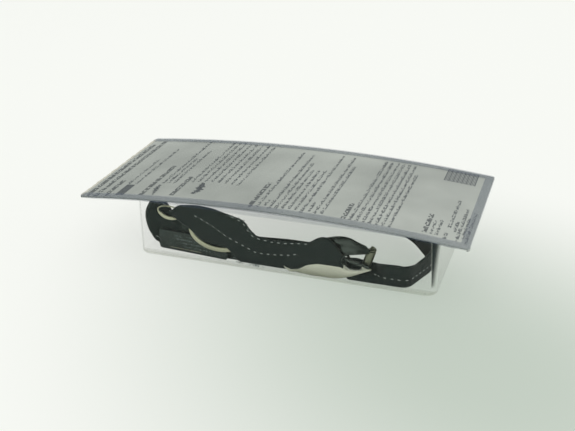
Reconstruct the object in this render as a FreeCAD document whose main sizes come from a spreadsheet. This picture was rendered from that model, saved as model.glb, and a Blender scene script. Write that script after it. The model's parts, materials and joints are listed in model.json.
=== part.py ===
import FreeCAD, Part
import math
import os
import Sketcher

# A webbing wrist strap in its clear blister tray under a bowed backing card.
# Millimetres. +Z is up, the tray's flat floor rests on Z = 0, and X runs along the card.
# The origin is the middle of the pack's footprint.

Vector = FreeCAD.Vector

# Driving dimensions, as (alias, value, what it is).
SIZES = [
    ("card_length", 250.0, "backing card, end to end"),
    ("pack_width", 112.6, "pack across, over the folded edges"),
    ("card_board", 0.8, "board thickness"),
    ("card_corner", 4.0, "rounding of the card's corners"),
    ("card_play", 0.15, "running gap between the card and its folded edges"),
    ("bow_rise", 6.85, "height of the bow over the card's length"),
    ("bow_lean", 1.65, "lean of the bowed card, far edge up, degrees"),
    ("crown_height", 45.2, "floor to the underside of the card at its middle"),
    ("film", 0.4, "thickness of the clear sheet"),
    ("lip_width", 6.0, "folded edge lying on the card"),
    ("tray_length", 195.5, "tray footprint along the card"),
    ("tray_width", 97.4, "tray footprint across the card"),
    ("tray_shift", 8.95, "tray centre from the pack's centre"),
    ("tray_corner", 8.0, "corner radius of the tray at its floor"),
    ("tray_draft", 1.0, "draft of the tray walls, degrees"),
    ("tray_edge", 0.9, "radius between floor and walls"),
    ("band_thick", 1.5, "webbing thickness"),
    ("band_low", 1.3, "lower edge of the webbing over the table"),
    ("band_high", 20.3, "upper edge of the webbing over the table"),
    ("band_rear", 41.5, "rear run of the webbing, from the centre line"),
    ("lap_gap", 0.02, "folded end clear of the inner layer"),
    ("lining_thick", 0.4, "conductive lining"),
    ("lining_inset", 2.2, "lining edge inside the webbing's edge"),
    ("lining_start", 24.0, "lining's start on the inner layer"),
    ("lining_stop", 0.35, "lining's end, as a share of the right end's forward run"),
    ("inner_layer", -39.2, "centre plane of the inner layer at the buckle"),
    ("inner_forward", 2.25, "how far the inner layer comes forward at the module"),
    ("tail_plane", -46.95, "centre plane of the tail over the buckle"),
    ("tail_forward", 0.3, "how far the tail's free end comes forward"),
    ("bend_place", -28.0, "where the inner layer turns back towards the left end"),
    ("bend_turn", 5.0, "that turn, degrees"),
    ("left_end", -87.3, "left end of the loop"),
    ("heel_place", 43.0, "heel bar, along the card"),
    ("heel_plane", -41.2, "heel bar, across the card"),
    ("heel_radius", 1.25, "heel bar radius"),
    ("heel_low", 2.2, "heel bar's lower end"),
    ("heel_length", 24.2, "heel bar length"),
    ("plate_apex", -46.1, "front of the buckle plate at its crown"),
    ("plate_thick", 1.2, "buckle plate thickness"),
    ("plate_middle", 9.0, "height of the plate's crown line"),
    ("plate_arch", 45.0, "radius of the plate's arch"),
    ("toe_place", 64.0, "toe bar centre, along the card"),
    ("toe_plane", -42.4, "toe bar centre, across the card"),
    ("toe_height", 16.9, "toe bar centre height"),
    ("toe_slant", 17.0, "toe bar slant, degrees"),
    ("toe_pin_radius", 1.2, "toe pin radius"),
    ("toe_pin_length", 15.6, "toe pin length"),
    ("roller_radius", 2.8, "roller radius"),
    ("roller_length", 10.6, "roller length"),
    ("turning_gap", 0.06, "radial running gap on a pin"),
    ("free_gap", 0.35, "gap left beside a moving piece"),
    ("prong_width", 2.0, "prong height"),
    ("prong_thick", 1.3, "prong thickness"),
    ("prong_height", 15.3, "prong height at the heel bar"),
    ("prong_fall", 7.0, "fall of the prong towards the toe bar, degrees"),
    ("prong_reach", 22.3, "heel bar to prong tip"),
    ("prong_lead", 9.0, "angle of the prong to the card's length, degrees"),
    ("eyelet_hole", 2.4, "eyelet bore radius"),
    ("eyelet_flange", 3.5, "eyelet flange radius"),
    ("eyelet_sheet", 0.3, "eyelet sheet thickness"),
    ("ring_thick", 1.0, "ring strip thickness"),
    ("ring_plane", -45.4, "large ring's plane"),
    ("ring_bar", 2.2, "width of a ring's straight bar"),
    ("large_ring_place", -20.6, "large ring's straight bar, along the card"),
    ("large_ring_strip", 2.7, "large ring strip width"),
    ("large_ring_low", 8.6, "large ring's lower side"),
    ("large_ring_height", 20.4, "large ring, over its sides"),
    ("large_ring_arm", 23.2, "large ring, bar to the start of its round end"),
    ("small_ring_place", -33.0, "small ring's bar from the bend, along the layer"),
    ("small_ring_off", 3.2, "small ring's plane, out from the webbing"),
    ("small_ring_strip", 2.4, "small ring strip width"),
    ("small_ring_low", 23.0, "small ring's lower side"),
    ("small_ring_height", 12.0, "small ring, over its sides"),
    ("small_ring_arm", 13.0, "small ring, bar to the start of its round end"),
    ("tab_ply", 0.3, "webbing tab ply in front of a ring's bar"),
    ("tab_slot_width", 3.4, "slot in a tab along the card"),
    ("tab_slot_depth", 1.4, "slot in a tab across the card"),
    ("tab_fold", 1.1, "tab beyond its slot, on the ring's side"),
    ("large_tab_length", 6.7, "large ring's tab"),
    ("small_tab_length", 12.0, "small ring's tab"),
    ("small_tab_low", 19.0, "lower end of the small ring's tab on the webbing"),
    ("arm_radius", 2.4, "round end of the plate's upper arm, on the toe pin"),
    ("arm_length", 1.9, "that round end, along the pin"),
    ("lug_width", 3.0, "lugs behind the plate's lower edge, along the card"),
    ("lug_height", 1.9, "height of a lug"),
    ("module_length", 49.5, "sensing module length"),
    ("module_height", 13.4, "sensing module height"),
    ("module_low", 1.6, "lower side of the module"),
    ("module_depth", 2.4, "module thickness, off the webbing"),
    ("module_base_thick", 0.6, "module base plate"),
    ("module_gasket_thick", 0.2, "module gasket"),
    ("module_wall", 0.6, "module cover wall"),
    ("module_corner", 1.6, "module corner radius"),
    ("module_bevel", 0.35, "bevel round the module cover's face"),
    ("resistor_radius", 0.45, "resistor body radius"),
    ("resistor_length", 3.2, "resistor body length"),
    ("lead_radius", 0.25, "resistor lead radius"),
    ("lead_length", 6.0, "resistor lead length"),
    ("contact_thick", 0.2, "contact strip thickness"),
    ("contact_length", 16.0, "contact strip length"),
    ("contact_width", 3.0, "contact strip width"),
    ("rivet_radius", 0.9, "contact rivet shank radius"),
    ("rivet_head", 1.9, "contact rivet head radius, on the lining"),
    ("rivet_collar", 1.33, "contact rivet collar radius, in the module"),
    ("rivet_head_thick", 0.35, "contact rivet head thickness"),
    ("screw_radius", 0.5, "module screw shank radius"),
    ("screw_head", 1.0, "module screw head radius"),
    ("screw_head_thick", 0.35, "module screw head thickness"),
    ("screw_inset", 2.2, "module screw from the module's sides"),
]

doc = FreeCAD.newDocument("strap_pack")


def make_sheet():
    """The spreadsheet of driving dimensions, one row for each."""
    sheet = doc.addObject("Spreadsheet::Sheet", "sheet")
    for row, (alias, value, meaning) in enumerate(SIZES, start=1):
        sheet.set("A%d" % row, str(value))
        sheet.set("B%d" % row, meaning)
        sheet.setAlias("A%d" % row, alias)
    doc.recompute()
    return sheet


sheet = make_sheet()


def size(alias):
    """A driving dimension, read from the sheet."""
    return float(sheet.get(alias))


# Values that follow from the driving dimensions, and how far tools run past what they cut.
HALF_LENGTH = size("card_length") / 2
BOW_RADIUS = (HALF_LENGTH**2 + size("bow_rise") ** 2) / (2 * size("bow_rise"))
HALF_SWEEP = math.degrees(math.asin(HALF_LENGTH / BOW_RADIUS))
HALF_BAND = size("band_thick") / 2
MODULE_LAYER = size("inner_layer") - size("inner_forward")
TAIL_END_PLANE = size("tail_plane") - size("tail_forward")
TALL = 120.0
REACH = 5.0


# Helpers that name a value in the sheet.


def bind(thing, **expressions):
    """Ties properties of an object to expressions; a double underscore stands for a dot."""
    for name, expression in expressions.items():
        thing.setExpression(name.replace("__", "."), expression)
    return thing


def primitive(kind, name, **expressions):
    """A Part primitive or boolean whose properties are bound to the sheet."""
    return bind(doc.addObject(kind, name), **expressions)


def boolean(kind, name, base, tool):
    """A Part::Cut, Part::Common or Part::Fuse of two objects."""
    result = doc.addObject(kind, name)
    if kind == "Part::MultiFuse":
        result.Shapes = [base] + list(tool)
    else:
        result.Base = base
        result.Tool = tool
    return result


def cut(name, base, tool):
    """Base less tool."""
    return boolean("Part::Cut", name, base, tool)


def common(name, first, second):
    """What two objects share."""
    return boolean("Part::Common", name, first, second)


def fuse(name, first, *others):
    """Several objects in one."""
    return boolean("Part::MultiFuse", name, first, others)


def feature(name, shape, placement=None):
    """A shape worked out here, held as an object of the document."""
    made = doc.addObject("Part::Feature", name)
    made.Shape = shape
    if placement is not None:
        made.Placement = placement
    return made


def body_plane(body, role):
    """One of a body's own origin planes or axes."""
    return [item for item in body.Origin.OriginFeatures if item.Role == role][0]


def body_sketch(body, name, role):
    """A sketch on one of a body's own origin planes."""
    sketch = body.newObject("Sketcher::SketchObject", name)
    sketch.AttachmentSupport = [(body_plane(body, role), "")]
    sketch.MapMode = "FlatFace"
    return sketch


def sketch_polygon(sketch, points):
    """A closed outline of straight lines through the points."""
    for start, end in zip(points, points[1:] + points[:1]):
        sketch.addGeometry(Part.LineSegment(Vector(*start, 0), Vector(*end, 0)))


def rounded_rectangle_sketch(body, name, length, width, radius):
    """A centred rounded rectangle on the XY plane, its three sizes bound to expressions."""
    Constraint = Sketcher.Constraint
    sketch = body_sketch(body, name, "XY_Plane")
    # A first guess, which the three expressions replace.
    half_x, half_y, corner = 50.0, 30.0, 5.0
    corners = [(1, -1), (1, 1), (-1, 1), (-1, -1)]
    ends = []
    for index, (sx, sy) in enumerate(corners):
        centre = Vector(sx * (half_x - corner), sy * (half_y - corner), 0)
        start = math.radians(-90 + 90 * index)
        circle = Part.Circle(centre, Vector(0, 0, 1), corner)
        arc = Part.ArcOfCircle(circle, start, start + math.pi / 2)
        sketch.addGeometry(arc)
        ends.append((arc.StartPoint, arc.EndPoint))
    for index in range(4):
        following = (index + 1) % 4
        sketch.addGeometry(Part.LineSegment(ends[index][1], ends[following][0]))
    for index in range(4):
        following = (index + 1) % 4
        line = 4 + index
        sketch.addConstraint(Constraint("Tangent", index, 2, line, 1))
        sketch.addConstraint(Constraint("Tangent", line, 2, following, 1))
        sketch.addConstraint(Constraint("Horizontal" if index % 2 else "Vertical", line))
    for index in range(1, 4):
        sketch.addConstraint(Constraint("Equal", 0, index))
    sketch.addConstraint(Constraint("Symmetric", 0, 3, 2, 3, -1, 1))
    sketch.addConstraint(Constraint("Radius", 0, corner))
    sketch.renameConstraint(sketch.ConstraintCount - 1, "corner")
    sketch.addConstraint(Constraint("DistanceX", 3, 3, 0, 3, 2 * (half_x - corner)))
    sketch.renameConstraint(sketch.ConstraintCount - 1, "span")
    sketch.addConstraint(Constraint("DistanceY", 0, 3, 1, 3, 2 * (half_y - corner)))
    sketch.renameConstraint(sketch.ConstraintCount - 1, "breadth")
    sketch.setExpression("Constraints.corner", radius)
    sketch.setExpression("Constraints.span", "(%s) - 2 * (%s)" % (length, radius))
    sketch.setExpression("Constraints.breadth", "(%s) - 2 * (%s)" % (width, radius))
    return sketch


def low_edges(shape, height):
    """Names of the edges that lie at one height."""
    names = []
    for index, edge in enumerate(shape.Edges, start=1):
        box = edge.BoundBox
        if abs(box.ZMin - height) < 1e-4 and abs(box.ZMax - height) < 1e-4:
            names.append("Edge%d" % index)
    return names


# Helpers for the webbing, whose layers are drawn in plan and cut to a side view.


def rounded_path(points):
    """Tangent lines and arcs through (x, y, radius) points, as ('line', a, b) and ('arc', c, r, a, b, side)."""
    pieces = []
    last = Vector(points[0][0], points[0][1], 0)
    for before, here, after in zip(points, points[1:], points[2:]):
        corner = Vector(here[0], here[1], 0)
        back = (Vector(before[0], before[1], 0) - corner).normalize()
        ahead = (Vector(after[0], after[1], 0) - corner).normalize()
        half = back.getAngle(ahead) / 2
        reach = here[2] / math.tan(half)
        start = corner + back * reach
        end = corner + ahead * reach
        middle = (back + ahead).normalize()
        centre = corner + middle * (here[2] / math.sin(half))
        side = 1 if back.cross(ahead).z < 0 else -1
        if (start - last).Length > 1e-6:
            pieces.append(("line", last, start))
        pieces.append(("arc", centre, here[2], start, end, side))
        last = end
    pieces.append(("line", last, Vector(points[-1][0], points[-1][1], 0)))
    return pieces


def path_edges(points, offset=0.0):
    """Edges along a rounded path, moved to its left by the offset."""
    edges = []
    for piece in rounded_path(points):
        if piece[0] == "line":
            along = (piece[2] - piece[1]).normalize()
            left = Vector(-along.y, along.x, 0) * offset
            edges.append(Part.makeLine(piece[1] + left, piece[2] + left))
            continue
        kind, centre, radius, start, end, side = piece
        scale = (radius - side * offset) / radius
        first = centre + (start - centre) * scale
        last = centre + (end - centre) * scale
        bisector = (first - centre + last - centre).normalize()
        through = centre + bisector * (first - centre).Length
        edges.append(Part.Arc(first, through, last).toShape())
    return edges


def ribbon(points, left, right, height):
    """A strip between two offsets of a path, standing from Z = 0 to the height."""
    one = path_edges(points, left)
    other = path_edges(points, -right)
    start = Part.makeLine(one[0].Vertexes[0].Point, other[0].Vertexes[0].Point)
    end = Part.makeLine(one[-1].Vertexes[-1].Point, other[-1].Vertexes[-1].Point)
    outline = Part.Wire(Part.__sortEdges__(one + other + [start, end]))
    return Part.Face(outline).extrude(Vector(0, 0, height))


def side_view(lower, upper, depth):
    """A slab in the card's width whose front view lies between two rounded paths."""
    low = path_edges(lower)
    high = path_edges(upper)
    start = Part.makeLine(low[0].Vertexes[0].Point, high[0].Vertexes[0].Point)
    end = Part.makeLine(low[-1].Vertexes[-1].Point, high[-1].Vertexes[-1].Point)
    outline = Part.Wire(Part.__sortEdges__(low + high + [start, end]))
    slab = Part.Face(outline).extrude(Vector(0, 0, depth))
    slab.rotate(Vector(0, 0, 0), Vector(1, 0, 0), 90)
    slab.translate(Vector(0, depth / 2, 0))
    return slab


def left_frame(along, out, height):
    """A point beside the turned inner layer, by its distance along it, out of it and its height."""
    turn = math.radians(size("bend_turn"))
    off = HALF_BAND + out
    x = size("bend_place") + along * math.cos(turn) - off * math.sin(turn)
    y = MODULE_LAYER - along * math.sin(turn) - off * math.cos(turn)
    return Vector(x, y, height)


def left_placement(along=0.0, out=0.0, height=0.0):
    """The placement of a piece that lies flat on the turned inner layer."""
    turn = FreeCAD.Rotation(Vector(0, 0, 1), -size("bend_turn"))
    return FreeCAD.Placement(left_frame(along, out, height), turn)


# The bowed card and its clear sheet share one axis, far below the table and leaning with the card.


def lean_placement():
    """The placement of the bow's own frame, whose Y axis is the axis of the bow."""
    lean = math.radians(size("bow_lean"))
    base = Vector(0, BOW_RADIUS * math.sin(lean), size("crown_height") - BOW_RADIUS * math.cos(lean))
    return FreeCAD.Placement(base, FreeCAD.Rotation(Vector(1, 0, 0), size("bow_lean")))


def bowed(name, outline, start, sweep):
    """A bowed body: an outline of (across, above the card's underside) points, swept round the bow."""
    body = doc.addObject("PartDesign::Body", name)
    sketch = body_sketch(body, name + "_outline", "YZ_Plane")
    sketch_polygon(sketch, [(across, BOW_RADIUS + above) for across, above in outline])
    turned = body.newObject("PartDesign::Revolution", name + "_bow")
    turned.Profile = sketch
    turned.ReferenceAxis = (body_plane(body, "Y_Axis"), [""])
    turned.Angle = sweep
    turned.Midplane = True
    swing = FreeCAD.Placement(Vector(0, 0, 0), FreeCAD.Rotation(Vector(0, 1, 0), start + sweep / 2))
    body.Placement = lean_placement().multiply(swing)
    return body


def corner_prism(name):
    """An upright prism over the pack's footprint with its rounded corners."""
    body = doc.addObject("PartDesign::Body", name)
    sketch = rounded_rectangle_sketch(
        body, name + "_outline", "sheet.card_length", "sheet.pack_width + 2", "sheet.card_corner"
    )
    pad = body.newObject("PartDesign::Pad", name + "_pad")
    pad.Profile = sketch
    pad.Length = TALL
    return body


def tray_block(name, inset, floor, kind, sizing, edge):
    """A drafted block with its floor edge rounded or bevelled, inset from the tray's outer faces."""
    body = doc.addObject("PartDesign::Body", name)
    sketch = rounded_rectangle_sketch(
        body,
        name + "_outline",
        "sheet.tray_length - 2 * (%s)" % inset,
        "sheet.tray_width - 2 * (%s)" % inset,
        "sheet.tray_corner - (%s)" % inset,
    )
    pad = body.newObject("PartDesign::Pad", name + "_pad")
    pad.Profile = sketch
    pad.Length = TALL / 2
    pad.setExpression("TaperAngle", "sheet.tray_draft")
    doc.recompute()
    eased = body.newObject(kind, name + "_edge")
    eased.Base = (pad, low_edges(pad.Shape, 0.0))
    eased.setExpression(sizing, edge)
    body.setExpression("Placement.Base.x", "sheet.tray_shift")
    body.setExpression("Placement.Base.z", floor)
    return body


def make_blister_tray():
    """The drawn tray, its flange and the edges folded over the card on three sides."""
    film = size("film")
    play = size("card_play")
    half = size("pack_width") / 2
    under = -play - film
    over = size("card_board") + play + film
    inner_lip = half - size("lip_width")
    section = [
        (-half, under),
        (half, under),
        (half, over),
        (inner_lip, over),
        (inner_lip, over - film),
        (half - film, over - film),
        (half - film, -play),
        (film - half, -play),
        (film - half, over - film),
        (-inner_lip, over - film),
        (-inner_lip, over),
        (-half, over),
    ]
    flange = bowed("flange", section, -HALF_SWEEP, 2 * HALF_SWEEP)
    end_sweep = math.degrees(film / BOW_RADIUS)
    lip_sweep = math.degrees(size("lip_width") / BOW_RADIUS)
    wall = [(-half, under), (half, under), (half, over), (-half, over)]
    lip = [(-half, over - film), (half, over - film), (half, over), (-half, over)]
    end_wall = bowed("end_wall", wall, HALF_SWEEP - end_sweep, end_sweep)
    end_lip = bowed("end_lip", lip, HALF_SWEEP - lip_sweep, lip_sweep)
    folded = fuse("folded_flange", flange, end_wall, end_lip)
    trimmed = common("trimmed_flange", folded, corner_prism("flange_corners"))
    outside = tray_block("tray_outside", "0", "0", "PartDesign::Fillet", "Radius", "sheet.tray_edge")
    inner_edge = "sheet.tray_edge - sheet.film"
    hollow = tray_block(
        "tray_hollow", "sheet.film", "sheet.film", "PartDesign::Chamfer", "Size", inner_edge
    )
    below = doc.addObject("Part::Cylinder", "below_flange")
    below.Radius = BOW_RADIUS - play - film / 2
    below.Height = 2 * TALL
    upright = FreeCAD.Placement(Vector(0, TALL, 0), FreeCAD.Rotation(Vector(1, 0, 0), 90))
    below.Placement = lean_placement().multiply(upright)
    block = common("tray_block", outside, below)
    whole = fuse("tray_and_flange", trimmed, block)
    return cut("blister_tray", whole, hollow)


def make_backing_card():
    """The bowed board, which draws out of the open end of its folded edges."""
    half = size("pack_width") / 2 - size("film") - size("card_play")
    outline = [(-half, 0), (half, 0), (half, size("card_board")), (-half, size("card_board"))]
    gap = math.degrees((size("film") + size("card_play")) / BOW_RADIUS)
    sheet_body = bowed("card_board_bow", outline, -HALF_SWEEP, 2 * HALF_SWEEP - gap)
    return common("backing_card", sheet_body, corner_prism("card_corners"))


# The webbing lies in a loop on edge: one strip from the heel bar round to the tail's tip.


def fold_points():
    """The webbing's start, folded round the heel bar and laid back on itself."""
    wrap = size("heel_radius") + HALF_BAND
    lap = size("inner_layer") - size("band_thick") - size("lap_gap")
    front = size("heel_plane") - wrap
    turn = size("heel_place") + wrap
    return [
        (20.0, lap, 0),
        (30.0, lap, 12),
        (37.0, front, 12),
        (turn, front, wrap),
        (turn, size("inner_layer"), wrap),
    ]


def loop_points():
    """The inner layer, the left end, the rear run, the right end and the run back to the buckle."""
    turn = math.radians(size("bend_turn"))
    left = size("left_end")
    reach = size("bend_place") - left
    layer = size("inner_layer")
    behind = size("toe_plane") + size("roller_radius") + size("free_gap") + HALF_BAND
    return [
        (12.0, layer, 40),
        (-6.0, MODULE_LAYER, 40),
        (size("bend_place"), MODULE_LAYER, 60),
        (left, MODULE_LAYER + reach * math.tan(turn), 7),
        (left, size("band_rear"), 20),
        (52.0, size("band_rear"), 45),
        (78.0, 23.5, 50),
        (99.6, -12.0, 20),
        (88.8, -44.8, 6),
        (73.0, -44.8, 4),
        (68.2, behind, 3),
        (58.0, behind, 0),
    ]


def tail_points():
    """The run behind the roller, out through the frame, over the heel bar and along to the tip."""
    behind = size("toe_plane") + size("roller_radius") + size("free_gap") + HALF_BAND
    return [
        (58.0, behind, 0),
        (54.0, behind, 5),
        (46.8, size("tail_plane"), 3),
        (-8.0, size("tail_plane"), 35),
        (-17.5, TAIL_END_PLANE, 35),
        (-67.0, TAIL_END_PLANE, 0),
    ]


def loop_side(inset):
    """The loop from the front: level, but raised at its left end and leaning in to the buckle."""
    low = size("band_low") + inset
    high = size("band_high") - inset
    lower = [
        (-95.0, 25.0 + inset, 0),
        (-86.0, 10.5 + inset, 8),
        (-76.0, low, 14),
        (22.0, low, 20),
        (36.0, 10.7 + inset, 12),
        (48.5, 10.7 + inset, 4),
        (56.0, low, 4),
        (105.0, low, 0),
    ]
    upper = [
        (-95.0, 36.5 - inset, 0),
        (-80.0, 34.0 - inset, 12),
        (-66.0, 28.0 - inset, 20),
        (-49.0, high, 30),
        (26.0, high, 20),
        (38.0, 21.6 - inset, 12),
        (46.8, 21.6 - inset, 4),
        (55.0, 13.4 - inset, 4),
        (61.0, 13.4 - inset, 10),
        (68.0, 15.2 - inset, 10),
        (86.0, 16.4 - inset, 20),
        (105.0, high, 0),
    ]
    return side_view(lower, upper, TALL)


def tail_side():
    """The tail from the front: drawn together in the frame, humped at the heel bar, rising to its tip."""
    low = size("band_low")
    lower = [
        (60.0, low, 0),
        (57.0, low, 3),
        (51.5, 10.0, 4),
        (46.0, 10.2, 6),
        (32.6, 9.8, 12),
        (25.5, 7.9, 6),
        (21.0, 4.4, 6),
        (15.0, 3.3, 8),
        (8.0, 3.0, 10),
        (-19.5, 3.4, 5),
        (-24.5, 9.6, 4),
        (-28.0, 12.6, 4),
        (-41.0, 14.1, 20),
        (-45.5, 15.0, 4),
        (-51.5, 21.0, 6),
        (-66.5, 30.5, 0),
    ]
    upper = [
        (60.0, 13.4, 0),
        (54.6, 13.6, 2),
        (52.4, 18.2, 1.5),
        (48.6, 18.5, 3),
        (46.0, 22.3, 4),
        (42.0, 27.0, 4),
        (37.0, 29.2, 4),
        (32.5, 27.6, 4),
        (27.0, 23.5, 6),
        (20.0, 22.9, 20),
        (2.0, 21.9, 20),
        (-7.0, 23.2, 8),
        (-11.5, 27.0, 5),
        (-15.0, 32.8, 5),
        (-21.0, 34.0, 10),
        (-36.0, 37.3, 20),
        (-47.0, 38.0, 20),
        (-59.5, 37.0, 0),
    ]
    return side_view(lower, upper, TALL)


def prong_eye_radius():
    """Outer radius of the prong's eye round the heel bar."""
    return size("heel_radius") + size("turning_gap") + size("prong_thick")


def crossing():
    """Where the prong's middle line passes through the tail, and the direction square to the webbing."""
    start, end = tail_points()[1:3]
    start = Vector(start[0], start[1], 0)
    along = (Vector(end[0], end[1], 0) - start).normalize()
    out = Vector(-along.y, along.x, 0)
    lead = math.radians(size("prong_lead"))
    ahead = Vector(math.cos(lead), -math.sin(lead), 0)
    side = Vector(-math.sin(lead), -math.cos(lead), 0)
    heel = Vector(size("heel_place"), size("heel_plane"), 0)
    root = heel + side * (prong_eye_radius() - size("prong_thick") / 2)
    reach = (start - root).dot(out) / ahead.dot(out)
    place = root + ahead * reach
    place.z = size("prong_height") - reach * math.tan(math.radians(size("prong_fall")))
    return place, out


def module_hole(radius, along, height):
    """A round tool square to the turned inner layer, through webbing, lining and module."""
    tool = Part.makeCylinder(radius, 2 * REACH, Vector(0, -REACH, 0), Vector(0, 1, 0))
    tool.Placement = left_placement(along, 0.0, height)
    return tool


def contact_point():
    """The contact rivet, by its distance along the module and its height."""
    return -size("module_length") / 2, size("module_low") + size("module_height") / 2


def make_band():
    """The webbing, with its prong notch, its eyelet hole and its hole for the contact rivet."""
    loop = ribbon(fold_points() + loop_points(), HALF_BAND, HALF_BAND, TALL)
    loop = loop.common(loop_side(0.0))
    tail = ribbon(tail_points(), HALF_BAND, HALF_BAND, TALL).common(tail_side())
    whole = loop.fuse(tail).removeSplitter()
    bar = Vector(size("heel_place"), size("heel_plane"), 0)
    notch_low = size("prong_height") - size("prong_width") - 2 * size("free_gap")
    notch_high = size("prong_width") * 2 + 4 * size("free_gap")
    wrap = size("heel_radius") + size("band_thick") + size("free_gap")
    notch = Part.makeCylinder(wrap, notch_high, bar + Vector(0, 0, notch_low))
    along, height = contact_point()
    rivet = module_hole(size("rivet_radius"), along, height)
    whole = whole.cut(notch).cut(eyelet_sheet()).cut(eyelet_bore()).cut(rivet)
    return feature("band", whole)


def make_band_lining():
    """The conductive strip inside the loop, from the module round the rear to the right end."""
    loop = loop_points()
    right, front = loop[7], loop[8]
    share = size("lining_stop")
    stop = (right[0] + (front[0] - right[0]) * share, right[1] + (front[1] - right[1]) * share, 0)
    path = [(size("lining_start"), size("inner_layer"), 0)] + loop[:8] + [stop]
    strip = ribbon(path, -HALF_BAND, HALF_BAND + size("lining_thick"), TALL)
    strip = strip.common(loop_side(size("lining_inset")))
    along, height = contact_point()
    rivet = module_hole(size("rivet_radius"), along, height)
    return feature("band_lining", strip.cut(rivet))


def eyelet_bore():
    """The round way through the eyelet, for the prong."""
    centre, out = crossing()
    reach = 2 * size("band_thick")
    return Part.makeCylinder(size("eyelet_hole"), 2 * reach, centre - out * reach, out)


def eyelet_sheet():
    """The eyelet's barrel and its two flanges, before the way through."""
    centre, out = crossing()
    sheet_thick = size("eyelet_sheet")
    reach = HALF_BAND + sheet_thick
    barrel = Part.makeCylinder(size("eyelet_hole") + sheet_thick, 2 * reach, centre - out * reach, out)
    front = Part.makeCylinder(size("eyelet_flange"), sheet_thick, centre + out * HALF_BAND, out)
    back = Part.makeCylinder(size("eyelet_flange"), sheet_thick, centre - out * reach, out)
    return barrel.fuse([front, back]).removeSplitter()


def make_eyelet():
    """A rolled eyelet in the tail, round the prong."""
    return feature("eyelet", eyelet_sheet().cut(eyelet_bore()))


# The buckle: an arched plate with a window, a heel bar, a toe pin with its roller, and a prong.


def slanted_cylinder(radius, length):
    """A cylinder along the toe bar's slanted axis, centred on the toe bar."""
    lean = math.radians(size("toe_slant"))
    axis = Vector(math.sin(lean), 0, math.cos(lean))
    centre = Vector(size("toe_place"), size("toe_plane"), size("toe_height"))
    return Part.makeCylinder(radius, length, centre - axis * (length / 2), axis)


def smooth_edge(points):
    """A smooth curve in front view through points given as x, z."""
    curve = Part.BSplineCurve()
    curve.interpolate([Vector(x, z, 0) for x, z in points])
    return curve.toShape()


def straight_edges(points):
    """Straight runs in front view between points given as x, z."""
    corners = [Vector(x, z, 0) for x, z in points]
    return [Part.makeLine(start, end) for start, end in zip(corners, corners[1:])]


def plate_outline():
    """The plate from the front: a leaf-like lower side, and an upper side that falls to the toe bar."""
    tip = (11.2, 5.6)
    leaf = [tip, (15.0, 3.2), (21.0, 1.6), (30.0, 0.9), (42.9, 1.0), (51.5, 3.0), (58.4, 6.2), (65.8, 9.6)]
    toe = [leaf[-1], (70.2, 23.0), (68.9, 24.8), (63.5, 23.9), (57.1, 25.7), (52.5, 27.3)]
    crown = [toe[-1], (44.0, 27.7), (34.9, 25.4), (24.0, 20.6), (16.0, 13.0), tip]
    return Part.Wire([smooth_edge(leaf)] + straight_edges(toe) + [smooth_edge(crown)])


def window_outline():
    """The window that the webbing passes through, open on its right to the roller."""
    points = [
        (30.0, 10.2),
        (45.6, 10.0),
        (48.4, 9.4),
        (52.7, 8.4),
        (58.2, 9.0),
        (61.5, 10.6),
        (68.0, 10.7),
        (72.0, 22.7),
        (64.9, 22.7),
        (60.1, 20.0),
        (54.0, 18.9),
        (48.4, 19.7),
        (46.7, 22.4),
        (34.5, 22.4),
        (30.0, 18.5),
    ]
    return Part.Wire(straight_edges(points + points[:1]))


def front_prism(outline):
    """An outline in front view, drawn right through the pack."""
    prism = Part.Face(outline).extrude(Vector(0, 0, TALL))
    prism.rotate(Vector(0, 0, 0), Vector(1, 0, 0), 90)
    prism.translate(Vector(0, TALL / 2, 0))
    return prism


def plate_lug(place, plane, low):
    """A lug on the plate's back that carries the lower end of a bar behind it."""
    width = size("lug_width")
    front = size("plate_apex") + size("plate_thick") / 2
    corner = Vector(place - width / 2, front, low)
    return Part.makeBox(width, plane - front, size("lug_height"), corner)


def make_buckle_plate():
    """The arched plate, open at the window, with the arm and the lugs that carry its bars."""
    radius = size("plate_arch")
    length = 2 * TALL
    start = Vector(-TALL, size("plate_apex") + radius, size("plate_middle"))
    outer = Part.makeCylinder(radius, length, start, Vector(1, 0, 0))
    inner = Part.makeCylinder(radius - size("plate_thick"), length, start, Vector(1, 0, 0))
    front = Part.makeBox(length, TALL, TALL, start - Vector(0, TALL, TALL / 2))
    shell = outer.cut(inner).common(front)
    plate = shell.common(front_prism(plate_outline())).cut(front_prism(window_outline()))
    gap = size("free_gap")
    roller_room = slanted_cylinder(size("roller_radius") + gap, size("roller_length") + 2 * gap)
    plate = plate.cut(roller_room)
    reach = size("toe_pin_length") / 2
    lean = math.radians(size("toe_slant"))
    axis = Vector(math.sin(lean), 0, math.cos(lean))
    toe = Vector(size("toe_place"), size("toe_plane"), size("toe_height"))
    arm_start = toe + axis * (reach - size("arm_length"))
    arm = Part.makeCylinder(size("arm_radius"), size("arm_length"), arm_start, axis)
    toe_end = toe - axis * reach
    toe_lug = plate_lug(toe_end.x, toe_end.y, toe_end.z - gap)
    bar = Vector(size("heel_place"), size("heel_plane"), 0)
    heel_lug = plate_lug(bar.x, bar.y, size("heel_low"))
    plate = plate.fuse([arm, toe_lug, heel_lug]).removeSplitter()
    plate = plate.cut(slanted_cylinder(size("toe_pin_radius"), size("toe_pin_length")))
    heel = Part.makeCylinder(size("heel_radius"), size("heel_length"), bar + Vector(0, 0, size("heel_low")))
    return feature("buckle_plate", plate.cut(heel))


def make_heel_bar():
    """The bar that the webbing is folded round."""
    return primitive(
        "Part::Cylinder",
        "heel_bar",
        Radius="sheet.heel_radius",
        Height="sheet.heel_length",
        Placement__Base__x="sheet.heel_place",
        Placement__Base__y="sheet.heel_plane",
        Placement__Base__z="sheet.heel_low",
    )


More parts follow.
